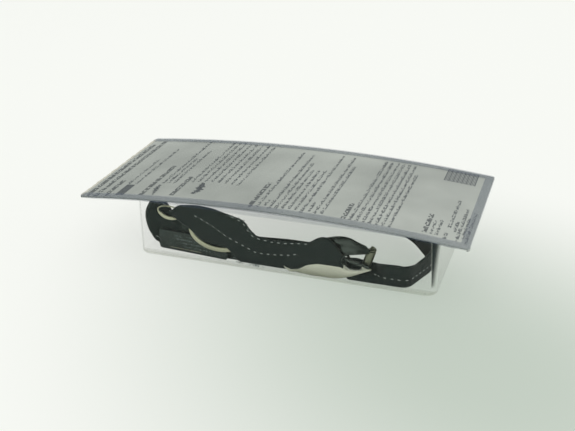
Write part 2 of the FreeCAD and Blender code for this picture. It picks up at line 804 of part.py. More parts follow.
def slanted_placement(length):
    """The placement of a cylinder on the toe bar's axis."""
    lean = math.radians(size("toe_slant"))
    axis = Vector(math.sin(lean), 0, math.cos(lean))
    centre = Vector(size("toe_place"), size("toe_plane"), size("toe_height"))
    turn = FreeCAD.Rotation(Vector(0, 1, 0), size("toe_slant"))
    return FreeCAD.Placement(centre - axis * (length / 2), turn)


def make_toe_pin():
    """The pin that carries the roller between the plate's two arms."""
    pin = primitive(
        "Part::Cylinder", "toe_pin", Radius="sheet.toe_pin_radius", Height="sheet.toe_pin_length"
    )
    pin.Placement = slanted_placement(size("toe_pin_length"))
    return pin


def make_toe_roller():
    """The roller, a sleeve that turns on the toe pin."""
    sleeve = primitive(
        "Part::Cylinder", "roller_sleeve", Radius="sheet.roller_radius", Height="sheet.roller_length"
    )
    bore = primitive(
        "Part::Cylinder",
        "roller_bore",
        Radius="sheet.toe_pin_radius + sheet.turning_gap",
        Height="sheet.roller_length",
    )
    roller = cut("toe_roller", sleeve, bore)
    roller.Placement = slanted_placement(size("roller_length"))
    return roller


def make_prong():
    """The prong, an eye round the heel bar and a flat tongue to the roller's front."""
    eye_outer = prong_eye_radius()
    width = size("prong_width")
    eye = Part.makeCylinder(eye_outer, width, Vector(0, 0, -width / 2))
    tongue = Part.makeBox(
        size("prong_reach"), size("prong_thick"), width, Vector(0, -eye_outer, -width / 2)
    )
    tip = Part.makeCylinder(
        width / 2,
        size("prong_thick"),
        Vector(size("prong_reach"), -eye_outer, 0),
        Vector(0, 1, 0),
    )
    shape = eye.fuse([tongue, tip]).removeSplitter()
    fall = size("prong_fall")
    shape.rotate(Vector(0, 0, 0), Vector(0, 1, 0), fall)
    shape.rotate(Vector(0, 0, 0), Vector(0, 0, 1), -size("prong_lead"))
    bore = Part.makeCylinder(size("heel_radius") + size("turning_gap"), TALL, Vector(0, 0, -TALL / 2))
    shape = shape.cut(bore)
    place = Vector(size("heel_place"), size("heel_plane"), size("prong_height"))
    return feature("prong", shape, FreeCAD.Placement(place, FreeCAD.Rotation()))


# The two flat rings and the webbing tabs that hold them.


def flat_ring(name, strip, low, height, arm):
    """A flat ring, straight at its bar and round at its far end, its bar on the local Z axis."""
    thick = "sheet.ring_thick"
    outer_box = primitive(
        "Part::Box",
        name + "_outer_box",
        Length="%s + sheet.ring_bar / 2" % arm,
        Width=thick,
        Height=height,
        Placement__Base__x="-(%s)" % arm,
        Placement__Base__y="-sheet.ring_thick / 2",
        Placement__Base__z=low,
    )
    outer_end = primitive(
        "Part::Cylinder", name + "_outer_end", Radius="(%s) / 2" % height, Height=thick
    )
    inner_box = primitive(
        "Part::Box",
        name + "_inner_box",
        Length="%s - sheet.ring_bar / 2" % arm,
        Width="2 * sheet.ring_thick",
        Height="%s - 2 * %s" % (height, strip),
        Placement__Base__x="-(%s)" % arm,
        Placement__Base__y="-sheet.ring_thick",
        Placement__Base__z="%s + %s" % (low, strip),
    )
    inner_end = primitive(
        "Part::Cylinder",
        name + "_inner_end",
        Radius="(%s) / 2 - %s" % (height, strip),
        Height="2 * sheet.ring_thick",
    )
    for end, back in ((outer_end, "sheet.ring_thick / 2"), (inner_end, "sheet.ring_thick")):
        end.Placement = FreeCAD.Placement(Vector(), FreeCAD.Rotation(Vector(1, 0, 0), 90))
        bind(
            end,
            Placement__Base__x="-(%s)" % arm,
            Placement__Base__y=back,
            Placement__Base__z="%s + (%s) / 2" % (low, height),
        )
    outer = fuse(name + "_outer", outer_box, outer_end)
    inner = fuse(name + "_inner", inner_box, inner_end)
    return cut(name, outer, inner)


def make_ring_large():
    """The large ring, standing in front of the module."""
    ring = flat_ring(
        "ring_large",
        "sheet.large_ring_strip",
        "sheet.large_ring_low",
        "sheet.large_ring_height",
        "sheet.large_ring_arm",
    )
    return bind(
        ring, Placement__Base__x="sheet.large_ring_place", Placement__Base__y="sheet.ring_plane"
    )


def make_ring_small():
    """The small ring, at the raised left end."""
    ring = flat_ring(
        "ring_small",
        "sheet.small_ring_strip",
        "sheet.small_ring_low",
        "sheet.small_ring_height",
        "sheet.small_ring_arm",
    )
    ring.Placement = left_placement(size("small_ring_place"), size("small_ring_off"), 0.0)
    return ring


def make_ring_tab_large():
    """The webbing tab round the large ring's bar, sewn to the inner layer."""
    gap = size("free_gap")
    low = size("large_ring_low") + size("large_ring_strip") + gap
    high = size("large_ring_low") + size("large_ring_height") - size("large_ring_strip") - gap
    slot_front = size("ring_plane") - size("tab_slot_depth") / 2
    front = slot_front - size("tab_ply")
    back = MODULE_LAYER - HALF_BAND
    bar = size("large_ring_place")
    left = bar - size("tab_slot_width") / 2 - size("tab_fold")
    outer = Part.makeBox(size("large_tab_length"), back - front, high - low, Vector(left, front, low))
    slot = Part.makeBox(
        size("tab_slot_width"),
        size("tab_slot_depth"),
        TALL,
        Vector(bar - size("tab_slot_width") / 2, slot_front, 0),
    )
    return feature("ring_tab_large", outer.cut(slot))


def make_ring_tab_small():
    """The webbing tab round the small ring's bar, sewn to the raised end of the inner layer."""
    gap = size("free_gap")
    low = size("small_ring_low") + size("small_ring_strip") + gap
    high = size("small_ring_low") + size("small_ring_height") - size("small_ring_strip") - gap
    out = size("small_ring_off")
    depth = out + size("tab_slot_depth") / 2 + size("tab_ply")
    left = -size("tab_slot_width") / 2 - size("tab_fold")
    length = size("small_tab_length")
    loop = Part.makeBox(length, depth, high - low, Vector(left, -depth + out, low))
    slot = Part.makeBox(
        size("tab_slot_width"),
        size("tab_slot_depth"),
        TALL,
        Vector(-size("tab_slot_width") / 2, -size("tab_slot_depth") / 2, 0),
    )
    sewn = size("tab_slot_width") / 2
    root_low = size("small_tab_low")
    root = Part.makeBox(
        length + left - sewn, depth, low + gap - root_low, Vector(sewn, -depth + out, root_low)
    )
    shape = loop.cut(slot).fuse(root).removeSplitter()
    place = left_placement(size("small_ring_place"), out, 0.0)
    return feature("ring_tab_small", shape, place)


# The flat module on the turned inner layer, in a frame where X runs along it and -Y is out.


def module_box(length, depth, height, start, out, low):
    """A box in the module's frame, from a distance along it, out of the webbing, and a height."""
    return Part.makeBox(length, depth, height, Vector(start, -out - depth, low))


def module_feature(name, shape):
    """A module piece, placed on the turned inner layer."""
    return feature(name, shape, left_placement())


def module_corners(shape):
    """Rounds the four edges square to the module's face."""
    edges = [
        edge
        for edge in shape.Edges
        if edge.BoundBox.XLength < 1e-6 and edge.BoundBox.ZLength < 1e-6
    ]
    return shape.makeFillet(size("module_corner"), edges)


def screw_points():
    """The two module screws, by distance along the module and height."""
    inset = size("screw_inset")
    middle = size("module_low") + size("module_height") / 2
    return [(-inset, middle), (inset - size("module_length"), middle)]


def out_cylinder(radius, length, along, out, height):
    """A round solid in the module's frame that points out from the webbing."""
    return Part.makeCylinder(radius, length, Vector(along, -out, height), Vector(0, -1, 0))


def through_hole(radius, along, height):
    """A round tool in the module's frame that passes right through it."""
    return out_cylinder(radius, 2 * REACH, along, -REACH, height)


def make_module_base():
    """The module's base plate, flat on the webbing."""
    length = size("module_length")
    thick = size("module_base_thick")
    shape = module_box(length, thick, size("module_height"), -length, 0, size("module_low"))
    shape = module_corners(shape)
    along, height = contact_point()
    shape = shape.cut(through_hole(size("rivet_radius"), along, height))
    for x, z in screw_points():
        shape = shape.cut(through_hole(size("screw_radius"), x, z))
        shape = shape.cut(out_cylinder(size("screw_head"), size("screw_head_thick"), x, 0.0, z))
    return module_feature("module_base", shape)


def make_module_gasket():
    """The thin gasket between base and cover."""
    length = size("module_length")
    height = size("module_height")
    low = size("module_low")
    wall = size("module_wall")
    thick = size("module_gasket_thick")
    base = size("module_base_thick")
    ring = module_corners(module_box(length, thick, height, -length, base, low))
    room = module_box(
        length - 2 * wall, 3 * thick, height - 2 * wall, wall - length, base - thick, low + wall
    )
    return module_feature("module_gasket", ring.cut(room))


def make_module_cover():
    """The module's cover, a shallow shell with a bevelled rim and a screw post at each end."""
    length = size("module_length")
    height = size("module_height")
    low = size("module_low")
    wall = size("module_wall")
    start = size("module_base_thick") + size("module_gasket_thick")
    depth = size("module_depth") - start
    shell = module_corners(module_box(length, depth, height, -length, start, low))
    rim = [edge for edge in shell.Edges if abs(edge.BoundBox.YMax + size("module_depth")) < 1e-6]
    shell = shell.makeChamfer(size("module_bevel"), rim)
    room = module_box(
        length - 2 * wall, depth - wall, height - 2 * wall, wall - length, start, low + wall
    )
    shell = shell.cut(room)
    for x, z in screw_points():
        post = out_cylinder(size("screw_head"), depth - wall / 2, x, start, z)
        shell = shell.fuse(post).removeSplitter()
        shell = shell.cut(out_cylinder(size("screw_radius"), depth - wall / 2, x, start, z))
    return module_feature("module_cover", shell)


def make_module_screws():
    """Two screws through the base into the cover's posts, their heads let into the base."""
    screws = []
    length = size("module_depth") - size("module_wall")
    for x, z in screw_points():
        shank = out_cylinder(size("screw_radius"), length, x, 0.0, z)
        head = out_cylinder(size("screw_head"), size("screw_head_thick"), x, 0.0, z)
        screws.append(shank.fuse(head).removeSplitter())
    return module_feature("module_screws", Part.makeCompound(screws))


def component_depth():
    """How far out the resistor's axis lies."""
    return size("module_base_thick") + size("contact_thick") + size("resistor_radius")


def make_contact_strip():
    """The strip on the base plate that joins the rivet to the resistor."""
    along, height = contact_point()
    width = size("contact_width")
    base = size("module_base_thick")
    thick = size("contact_thick")
    shape = module_box(size("contact_length"), thick, width, along - width / 2, base, height - width / 2)
    shape = shape.cut(through_hole(size("rivet_radius"), along, height))
    return module_feature("contact_strip", shape)


def make_resistor():
    """The series resistor, a small round body across the contact strip's end."""
    along, height = contact_point()
    start = along + size("contact_length") / 2
    body = Part.makeCylinder(
        size("resistor_radius"),
        size("resistor_length"),
        Vector(start, -component_depth(), height),
        Vector(1, 0, 0),
    )
    return module_feature("resistor", body)


def make_resistor_leads():
    """The resistor's two leads, straight out of its ends."""
    along, height = contact_point()
    start = along + size("contact_length") / 2
    length = size("lead_length")
    leads = []
    for x in (start - length, start + size("resistor_length")):
        place = Vector(x, -component_depth(), height)
        leads.append(Part.makeCylinder(size("lead_radius"), length, place, Vector(1, 0, 0)))
    return module_feature("resistor_leads", Part.makeCompound(leads))


def make_contact_rivet():
    """The rivet that carries the contact from the lining through the webbing and the base."""
    along, height = contact_point()
    head = size("rivet_head_thick")
    lining_face = -size("band_thick") - size("lining_thick")
    top = size("module_base_thick") + size("contact_thick")
    shank = out_cylinder(size("rivet_radius"), top - lining_face + head, along, lining_face, height)
    inner = out_cylinder(size("rivet_head"), head, along, lining_face - head, height)
    outer = out_cylinder(size("rivet_collar"), head, along, top, height)
    return module_feature("contact_rivet", shank.fuse([inner, outer]).removeSplitter())


MAKERS = [
    make_blister_tray,
    make_backing_card,
    make_band,
    make_band_lining,
    make_eyelet,
    make_buckle_plate,
    make_heel_bar,
    make_toe_pin,
    make_toe_roller,
    make_prong,
    make_ring_large,
    make_ring_small,
    make_ring_tab_large,
    make_ring_tab_small,
    make_module_base,
    make_module_gasket,
    make_module_cover,
    make_module_screws,
    make_contact_strip,
    make_resistor,
    make_resistor_leads,
    make_contact_rivet,
]


def check_document():
    """Stops when any object of the document failed."""
    for item in doc.Objects:
        if "Invalid" in item.State or "Error" in item.State:
            raise RuntimeError("%s did not build: %s" % (item.Name, item.State))


def export(nodes):
    """Checks each sub-part's shape and writes it under its label."""
    os.makedirs("parts", exist_ok=True)
    for node in nodes:
        shape = node.Shape
        if shape.isNull() or not shape.isValid() or not shape.Solids:
            raise RuntimeError("%s has no valid solid" % node.Label)
        box = shape.BoundBox
        print(
            "%-16s solids %d volume %10.2f  x %7.2f %7.2f  y %7.2f %7.2f  z %6.2f %6.2f"
            % (
                node.Label,
                len(shape.Solids),
                shape.Volume,
                box.XMin,
                box.XMax,
                box.YMin,
                box.YMax,
                box.ZMin,
                box.ZMax,
            )
        )
        shape.exportStep("parts/%s.step" % node.Label)


def main():
    """Builds every sub-part, checks the document and writes the parts."""
    nodes = [make() for make in MAKERS]
    doc.recompute()
    check_document()
    export(nodes)


main()
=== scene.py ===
"""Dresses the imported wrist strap: webbing, buckle, rings, module, clear tray and printed card."""

from __future__ import annotations

import json
import logging
import math
import random
from collections.abc import Callable, Iterable, Sequence
from dataclasses import dataclass
from enum import Enum

import bpy
import numpy as np
from mathutils import Matrix, Vector
from mathutils.bvhtree import BVHTree

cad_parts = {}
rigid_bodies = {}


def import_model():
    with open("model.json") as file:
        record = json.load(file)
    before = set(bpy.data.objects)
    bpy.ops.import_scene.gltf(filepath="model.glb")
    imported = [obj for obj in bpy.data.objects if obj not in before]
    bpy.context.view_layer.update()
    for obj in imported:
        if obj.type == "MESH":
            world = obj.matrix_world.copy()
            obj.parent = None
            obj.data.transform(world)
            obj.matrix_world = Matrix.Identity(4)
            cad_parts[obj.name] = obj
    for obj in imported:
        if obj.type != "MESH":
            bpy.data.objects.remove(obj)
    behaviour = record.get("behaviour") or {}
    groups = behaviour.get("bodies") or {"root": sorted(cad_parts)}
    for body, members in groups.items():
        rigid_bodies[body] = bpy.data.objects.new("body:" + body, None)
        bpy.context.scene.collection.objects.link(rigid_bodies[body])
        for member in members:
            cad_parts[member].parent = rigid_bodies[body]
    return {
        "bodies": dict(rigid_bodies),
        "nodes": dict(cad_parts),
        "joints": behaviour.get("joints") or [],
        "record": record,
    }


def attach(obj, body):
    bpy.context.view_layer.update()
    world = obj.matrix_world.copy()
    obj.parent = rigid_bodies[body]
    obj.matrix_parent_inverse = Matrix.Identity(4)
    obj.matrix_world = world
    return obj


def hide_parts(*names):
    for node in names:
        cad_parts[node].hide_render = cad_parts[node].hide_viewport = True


LOG = logging.getLogger("strap_pack")
MM = 0.001
MERGE = 2e-6
IN_METRES = (1.0, 1.0, 1.0)
IN_MILLIMETRES = (1000.0, 1000.0, 1000.0)
FRONT = Vector((0.0, -1.0, 0.0))
ALONG = Vector((1.0, 0.0, 0.0))
UP = Vector((0.0, 0.0, 1.0))
LAYER_BEND = (-28.0, -41.45)
LAYER_LEAN = math.radians(5.0)
LAYER_OUT = Vector((-math.sin(LAYER_LEAN), -math.cos(LAYER_LEAN), 0.0))

Point3 = tuple[float, float, float]
Point2 = tuple[float, float]
Table = tuple[Point2, ...]


class Spread(Enum):
    """What a pattern follows."""

    SURFACE = "UV"
    SPACE = "Object"


class Body(Enum):
    """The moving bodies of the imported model."""

    PACK = "pack"
    CARD = "card"
    ROLLER = "roller"
    PRONG = "prong"
    LARGE_RING = "large_ring"
    SMALL_RING = "small_ring"


def look_up(table: Table, at: float) -> float:
    """A table's value, straight between its points.

    Args:
        table: places and values.
        at: the place.

    Returns:
        The value there.
    """
    return float(np.interp(at, *zip(*table)))


def share_of(value: float, low: float, high: float) -> float:
    """How far a value has come from low to high, between nought and one."""
    return min(max((value - low) / (high - low), 0.0), 1.0)


def on_layer(along: float, height: float, off: float) -> Vector:
    """A place beside the turned layer of webbing, in millimetres along it, up and off its middle.

    Args:
        along: how far along the layer.
        height: how far up.
        off: how far out from its middle.

    Returns:
        The place in millimetres.
    """
    x = LAYER_BEND[0] + along * math.cos(LAYER_LEAN) - off * math.sin(LAYER_LEAN)
    y = LAYER_BEND[1] - along * math.sin(LAYER_LEAN) - off * math.cos(LAYER_LEAN)
    return Vector((x, y, height))


def linear(code: str) -> tuple[float, float, float, float]:
    """Turns an sRGB hex value into a linear colour.

    Args:
        code: a hash and six hex digits.

    Returns:
        Red, green, blue and an alpha of one.
    """
    parts = [int(code[i : i + 2], 16) / 255 for i in (1, 3, 5)]
    red, green, blue = [p / 12.92 if p <= 0.04045 else ((p + 0.055) / 1.055) ** 2.4 for p in parts]
    return (red, green, blue, 1.0)


def plug(node: bpy.types.Node, inputs: dict[str | int, object]) -> None:
    """Sets or links a node's inputs.

    Args:
        node: the node.
        inputs: by name or number, a value, a hex colour, a socket, or a node whose outcome is meant.
    """
    for key, value in inputs.items():
        if isinstance(value, bpy.types.Node):
            value = value.outputs[2 if getattr(value, "data_type", "") == "RGBA" else 0]
        if isinstance(value, bpy.types.NodeSocket):
            node.id_data.links.new(value, node.inputs[key])
        else:
            node.inputs[key].default_value = linear(value) if isinstance(value, str) else value


def add_node(
    tree: bpy.types.NodeTree,
    kind: str,
    inputs: dict[str | int, object] | None = None,
    ramp: Sequence[tuple[float, str]] = (),
    **settings: object,
) -> bpy.types.Node:
    """Adds a node with its settings, values and links.

    Args:
        tree: the node tree.
        kind: the node's type name, without what all of them start with.
        inputs: what goes into it.
        ramp: places and colours, for a colour ramp.
        **settings: the node's own properties.

    Returns:
        The new node.
    """
    node = tree.nodes.new("ShaderNode" + kind)
    for key, value in settings.items():
        setattr(node, key, value)
    plug(node, inputs or {})
    if ramp:
        steps = node.color_ramp.elements
        while len(steps) < len(ramp):
            steps.new(1.0)
        for step, (place, code) in zip(steps, ramp):
            step.position = place
            step.color = linear(code)
    return node


def deselect() -> None:
    """Leaves nothing selected."""
    if bpy.context.object and bpy.context.object.mode != "OBJECT":
        bpy.ops.object.mode_set(mode="OBJECT")
    bpy.ops.object.select_all(action="DESELECT")


def activate(piece: bpy.types.Object) -> None:
    """Selects one piece alone and makes it active.

    Args:
        piece: the mesh object.
    """
    deselect()
    piece.select_set(True)
    bpy.context.view_layer.objects.active = piece


def settle(piece: bpy.types.Object) -> None:
    """Moves a piece's place, turn and scale into its mesh."""
    activate(piece)
    bpy.ops.object.transform_apply(location=True, rotation=True, scale=True)


def apply_modifier(piece: bpy.types.Object, kind: str, **settings: object) -> None:
    """Adds a modifier, sets it and applies it.

    Args:
        piece: the mesh object.
        kind: the modifier's type name.
        **settings: the modifier's own properties.
    """
    activate(piece)
    modifier = piece.modifiers.new(kind.lower(), kind)
    for key, value in settings.items():
        setattr(modifier, key, value)
    bpy.ops.object.modifier_apply(modifier=modifier.name)


def join(pieces: Sequence[bpy.types.Object], name: str) -> bpy.types.Object:
    """Joins pieces into one.

    Args:
        pieces: the mesh objects.
        name: the joined piece's name.

    Returns:
        The joined piece, its place in its mesh.
    """
    deselect()
    for piece in pieces:
        piece.select_set(True)
    bpy.context.view_layer.objects.active = pieces[0]
    bpy.ops.object.join()
    whole = bpy.context.object
    whole.name = name
    settle(whole)
    return whole


def smooth(piece: bpy.types.Object, degrees: float) -> None:
    """Shades a piece smooth but for edges sharper than an angle."""
    activate(piece)
    bpy.ops.object.shade_smooth_by_angle(angle=math.radians(degrees))


def merge_doubles(
    piece: bpy.types.Object, gap: float, then: Callable[..., object], **settings: object
) -> None:
    """Merges a piece's doubled vertices in edit mode and runs one more operator on the whole of it.

    Args:
        piece: the mesh object.
        gap: vertices closer than this become one, in metres.
        then: the operator.
        **settings: the operator's own settings.
    """
    activate(piece)
    bpy.ops.object.mode_set(mode="EDIT")
    bpy.ops.mesh.select_all(action="SELECT")
    bpy.ops.mesh.remove_doubles(threshold=gap)
    then(**settings)
    bpy.ops.object.mode_set(mode="OBJECT")


def face_outwards(piece: bpy.types.Object, gap: float = MERGE) -> None:
    """Merges a closed piece's doubles and turns its faces outwards."""
    merge_doubles(piece, gap, bpy.ops.mesh.normals_make_consistent, inside=False)


def paint(piece: bpy.types.Object, *materials: bpy.types.Material) -> None:
    """Gives a piece its materials, in order.

    Args:
        piece: the mesh object.
        *materials: its finishes, in order.
    """
    piece.data.materials.clear()
    for material in materials:
        piece.data.materials.append(material)


def hand_in(piece: bpy.types.Object, body: Body, slot: str, *materials: bpy.types.Material) -> None:
    """Paints a piece, fixes it to the body that carries it and says what it rides on.

    Args:
        piece: the finished piece.
        body: the body that carries it.
        slot: the material slot's name; not used.
        *materials: its finishes.
    """
    paint(piece, *materials)
    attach(piece, body.value)
    LOG.info("%s rides on %s", piece.name, body.value)


def grid(name: str, across: int, along: int) -> bpy.types.Object:
    """A flat grid one unit on each side, to be shaped.

    Args:
        name: the piece's name.
        across: its cells along X.
        along: its cells along Y.

    Returns:
        The grid.
    """
    deselect()
    bpy.ops.mesh.primitive_grid_add(x_subdivisions=across, y_subdivisions=along, size=1.0)
    piece = bpy.context.object
    piece.name = name
    return piece


def aim(name: str, data: bpy.types.ID, place: Vector, gaze: Vector) -> bpy.types.Object:
    """Puts a camera or a lamp in the scene.

    Args:
        name: its name.
        data: the camera's or lamp's own settings.
        place: its place in metres.
        gaze: the direction that it faces.

    Returns:
        Its object.
    """
    holder = bpy.data.objects.new(name, data)
    holder.location = place
    holder.rotation_mode = "QUATERNION"
    holder.rotation_quaternion = gaze.to_track_quat("-Z", "Y")
    bpy.context.scene.collection.objects.link(holder)
    return holder


@dataclass(frozen=True)
class Section:
    """One cross-section of a drawn or rolled strip, in millimetres."""

    place: Vector
    side: Vector
    up: Vector
    width: float
    thick: float


def sweep(name: str, sections: Sequence[Section], corners: int, square: float) -> bpy.types.Object:
    """A solid strip or wire through cross-sections, closed where first and last are alike.

    Args:
        name: the piece's name.
        sections: the cross-sections in order; a width of nought closes an end.
        corners: points round each one.
        square: one for an oval, less for a squarer outline.

    Returns:
        The strip.
    """
    last = len(sections) - 1
    piece = grid(name, last, corners)
    for vertex in piece.data.vertices:
        part = sections[round((vertex.co.x + 0.5) * last)]
        angle = math.tau * (vertex.co.y + 0.5)
        over = math.copysign(abs(math.cos(angle)) ** square, math.cos(angle)) * part.width / 2
        rise = math.copysign(abs(math.sin(angle)) ** square, math.sin(angle)) * part.thick / 2
        vertex.co = (part.place + part.side * over + part.up * rise) * MM
    face_outwards(piece)
    smooth(piece, 50.0)
    return piece


def refined(node: str, name: str, bevel: float) -> bpy.types.Object:
    """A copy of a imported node's form with its edges eased, which then stands for the node.

    Args:
        node: the node's name.
        name: the new piece's name.
        bevel: width of the eased edge, in millimetres.

    Returns:
        The new piece.
    """
    piece = bpy.data.objects.new(name, Pack.nodes[node].data.copy())
    bpy.context.scene.collection.objects.link(piece)
    merge_doubles(piece, MERGE, bpy.ops.mesh.dissolve_limited, angle_limit=math.radians(0.6))
    edges = {"width": bevel * MM, "segments": 3, "limit_method": "ANGLE", "angle_limit": math.radians(35.0)}
    apply_modifier(piece, "BEVEL", use_clamp_overlap=True, harden_normals=False, **edges)
    smooth(piece, 40.0)
    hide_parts(node)
    return piece


# Finishes


@dataclass(frozen=True)
class Finish:
    """A finish with one Principled shader, which each kind of surface completes."""

    name: str
    colour: str
    roughness: float

    def build(self) -> bpy.types.Material:
        """Makes the material.

        Returns:
            The finished material.
        """
        material = bpy.data.materials.new(self.name)
        material.use_nodes = True
        tree = material.node_tree
        tree.nodes.clear()
        shader = add_node(tree, "BsdfPrincipled", {"Base Color": self.colour, "Roughness": self.roughness})
        add_node(tree, "OutputMaterial", {"Surface": shader})
        self.dress(tree, shader)
        material.diffuse_color = linear(self.colour)
        return material

    def dress(self, tree: bpy.types.NodeTree, shader: bpy.types.Node) -> None:
        """Adds what the plain surface lacks."""

    def place(
        self,
        tree: bpy.types.NodeTree,
        scale: Point3 = IN_MILLIMETRES,
        turn: float = 0.0,
        spread: Spread = Spread.SPACE,
    ) -> bpy.types.Node:
        """Coordinates for a pattern.

        Args:
            tree: the node tree.
            scale: how the three directions are stretched.
            turn: turn about the third direction, in degrees.
            spread: what the pattern follows.

        Returns:
            The node that gives them.
        """
        source = add_node(tree, "TexCoord").outputs[spread.value]
        turned = (0.0, 0.0, math.radians(turn))
        return add_node(tree, "Mapping", {"Vector": source, "Scale": scale, "Rotation": turned})


@dataclass(frozen=True)
class WovenNylon(Finish):
    """Nylon webbing, woven in a fine diagonal rib: matt, nearly black green, with a soft sheen."""

    light: str = "#33423B"
    rib: float = 0.9
    spread: Spread = Spread.SURFACE
    fuzz: bool = False

    def dress(self, tree: bpy.types.NodeTree, shader: bpy.types.Node) -> None:
        """Adds the rib, the yarn's uneven colour and its sheen. The real 0.6 mm rib is drawn coarser.

        Args:
            tree: the material's node tree.
            shader: its Principled node.
        """
        scale = (10.0, 10.0, 10.0) if self.spread is Spread.SURFACE else IN_MILLIMETRES
        flat = self.place(tree, scale, spread=self.spread)
        turned = self.place(tree, scale, 38.0, self.spread)
        wave = {"Scale": 0.314 / self.rib, "Distortion": 1.2, "Detail": 2.0, "Detail Scale": 3.0}
        ribs = add_node(tree, "TexWave", {"Vector": turned, **wave})
        yarn = add_node(tree, "TexNoise", {"Vector": flat, "Scale": 1.9, "Detail": 4.0})
        cloud = add_node(tree, "TexNoise", {"Vector": flat, "Scale": 0.09, "Detail": 3.0})
        tone = add_node(tree, "Math", {0: yarn, 1: cloud, 2: ribs}, operation="MULTIPLY_ADD")
        level = add_node(tree, "MapRange", {"Value": tone, "From Min": 0.2, "From Max": 1.3})
        low, high = (0.45, 0.8) if self.fuzz else (0.3, 1.0)
        ramp = add_node(tree, "ValToRGB", {0: level}, ramp=[(low, self.colour), (high, self.light)])
        height = add_node(tree, "Math", {0: yarn, 1: 0.5, 2: ribs}, operation="MULTIPLY_ADD")
        bump = add_node(tree, "Bump", {"Height": height, "Strength": 0.3, "Distance": 0.14 * MM})
        plug(shader, {"Base Color": ramp, "Normal": bump})
        plug(shader, {"Sheen Weight": 0.12, "Sheen Roughness": 0.5, "Specular IOR Level": 0.25})


@dataclass(frozen=True)
class PlatedMetal(Finish):
    """Nickel plate on steel, tumbled: bright, with soft waves in what it mirrors."""

    worn: str = "#8C8E80"
    wave: float = 0.12

    def dress(self, tree: bpy.types.NodeTree, shader: bpy.types.Node) -> None:
        """Adds the plate's slight waves, uneven polish and darker patches.

        Args:
            tree: the material's node tree.
            shader: its Principled node.
        """
        spot = self.place(tree)
        waves = add_node(tree, "TexNoise", {"Vector": spot, "Scale": 0.16, "Detail": 2.0})
        grain = add_node(tree, "TexNoise", {"Vector": spot, "Scale": 2.4, "Detail": 5.0})
        mix = add_node(tree, "Mix", {0: grain, 6: self.colour, 7: self.worn}, data_type="RGBA")
        reach = {"To Min": self.roughness * 0.7, "To Max": self.roughness * 1.4}
        polish = add_node(tree, "MapRange", {"Value": grain, **reach})
        bump = add_node(tree, "Bump", {"Height": waves, "Strength": self.wave, "Distance": 2.0 * MM})
        plug(shader, {"Base Color": mix, "Roughness": polish, "Normal": bump, "Metallic": 1.0})


@dataclass(frozen=True)
class ClearSheet(Finish):
    """Drawn clear PET sheet: clear face on, greyer at a slant, bluish where it folds over the card."""

    lip: str = "#5F6C80"
    hatch: str = "#B4BA9C"
    # painted refraction: colour of the dark streak at the right front corner, standing for the dark strap
    # seen bent through the film
    streak: str = "#1B2828"
    lip_height: float = 36.6
    corner: Point2 = (98.7, -40.7)
    hatch_period: float = 1.05

    def dress(self, tree: bpy.types.NodeTree, shader: bpy.types.Node) -> None:
        """Adds the see-through depth, the lips' tint, the foot's hatching and the corner's dark streak, a
        painted refraction of the dark strap.

        Args:
            tree: the material's node tree.
            shader: its Principled node.
        """
        where = add_node(tree, "TexCoord").outputs["Object"]
        parts = add_node(tree, "SeparateXYZ", {0: where}).outputs
        height, depth, length = parts["Z"], parts["Y"], parts["X"]
        slant = add_node(tree, "LayerWeight", {"Blend": 0.3}).outputs["Facing"]
        across = add_node(tree, "Math", {0: length, 1: self.corner[0] * MM}, operation="SUBTRACT")
        ahead = add_node(tree, "Math", {0: self.corner[1] * MM, 1: depth}, operation="SUBTRACT")
        angle = add_node(tree, "Math", {0: across, 1: ahead}, operation="ARCTAN2")
        top = self.lip_height
        names = ("Value", "From Min", "From Max", "To Min", "To Max")
        rise, foot, front, opening, start, above, clear = (
            add_node(tree, "MapRange", dict(zip(names, row)))
            for row in (
                (height, top * MM, (top + 0.8) * MM, 0.0, 1.0),
                (height, 2.4 * MM, 1.6 * MM, 0.0, 1.0),
                (depth, -41.0 * MM, -42.5 * MM, 0.0, 1.0),
                (height, 4.0 * MM, 37.0 * MM, 1.05, 1.5),
                (height, 4.0 * MM, 34.0 * MM, 0.62, 0.4),
                (height, 4.5 * MM, 7.0 * MM, 0.0, 1.0),
                (slant, 0.35, 1.0, 0.015, 0.26),
            )
        )
        turned = self.place(tree, IN_METRES, 50.0)
        wave = {"Vector": turned, "Scale": 0.314 / (self.hatch_period * MM), "Distortion": 0.5}
        hatching = add_node(tree, "TexWave", wave)
        for mask in (foot, front):
            hatching = add_node(tree, "Math", {0: hatching, 1: mask}, operation="MULTIPLY")
        # painted refraction: a dark band on the film that fans out beside the right front corner, standing
        # for the strap seen through it
        past = add_node(tree, "Math", {0: angle, 1: start}, operation="SUBTRACT")
        streak = add_node(tree, "MapRange", {"Value": past, "From Min": 0.0, "From Max": 0.1})
        left = add_node(tree, "Math", {0: opening, 1: angle}, operation="SUBTRACT")
        left = add_node(tree, "Math", {0: left, 1: opening}, operation="DIVIDE")
        fade = add_node(tree, "MapRange", {"Value": left, "From Min": 0.0, "From Max": 0.45})
        below = add_node(tree, "Math", {0: height, 1: 36.4 * MM}, operation="LESS_THAN")
        for mask in (fade, above, below):
            streak = add_node(tree, "Math", {0: streak, 1: mask}, operation="MULTIPLY")
        alpha, tone = clear, self.colour
        layers = ((rise, 0.14, self.lip), (hatching, 0.2, self.hatch), (streak, 0.85, self.streak))
        for mask, cover, colour in layers:
            added = {0: mask, 1: cover, 2: alpha}
            alpha = add_node(tree, "Math", added, operation="MULTIPLY_ADD", use_clamp=True)
            tone = add_node(tree, "Mix", {0: mask, 6: tone, 7: colour}, data_type="RGBA")
        spot = self.place(tree, IN_METRES)
        waves = add_node(tree, "TexNoise", {"Vector": spot, "Scale": 38.0, "Detail": 2.0})
        bump = add_node(tree, "Bump", {"Height": waves, "Strength": 0.25, "Distance": 1.5 * MM})
        plug(shader, {"Base Color": tone, "Alpha": alpha, "Normal": bump, "Specular IOR Level": 0.25})


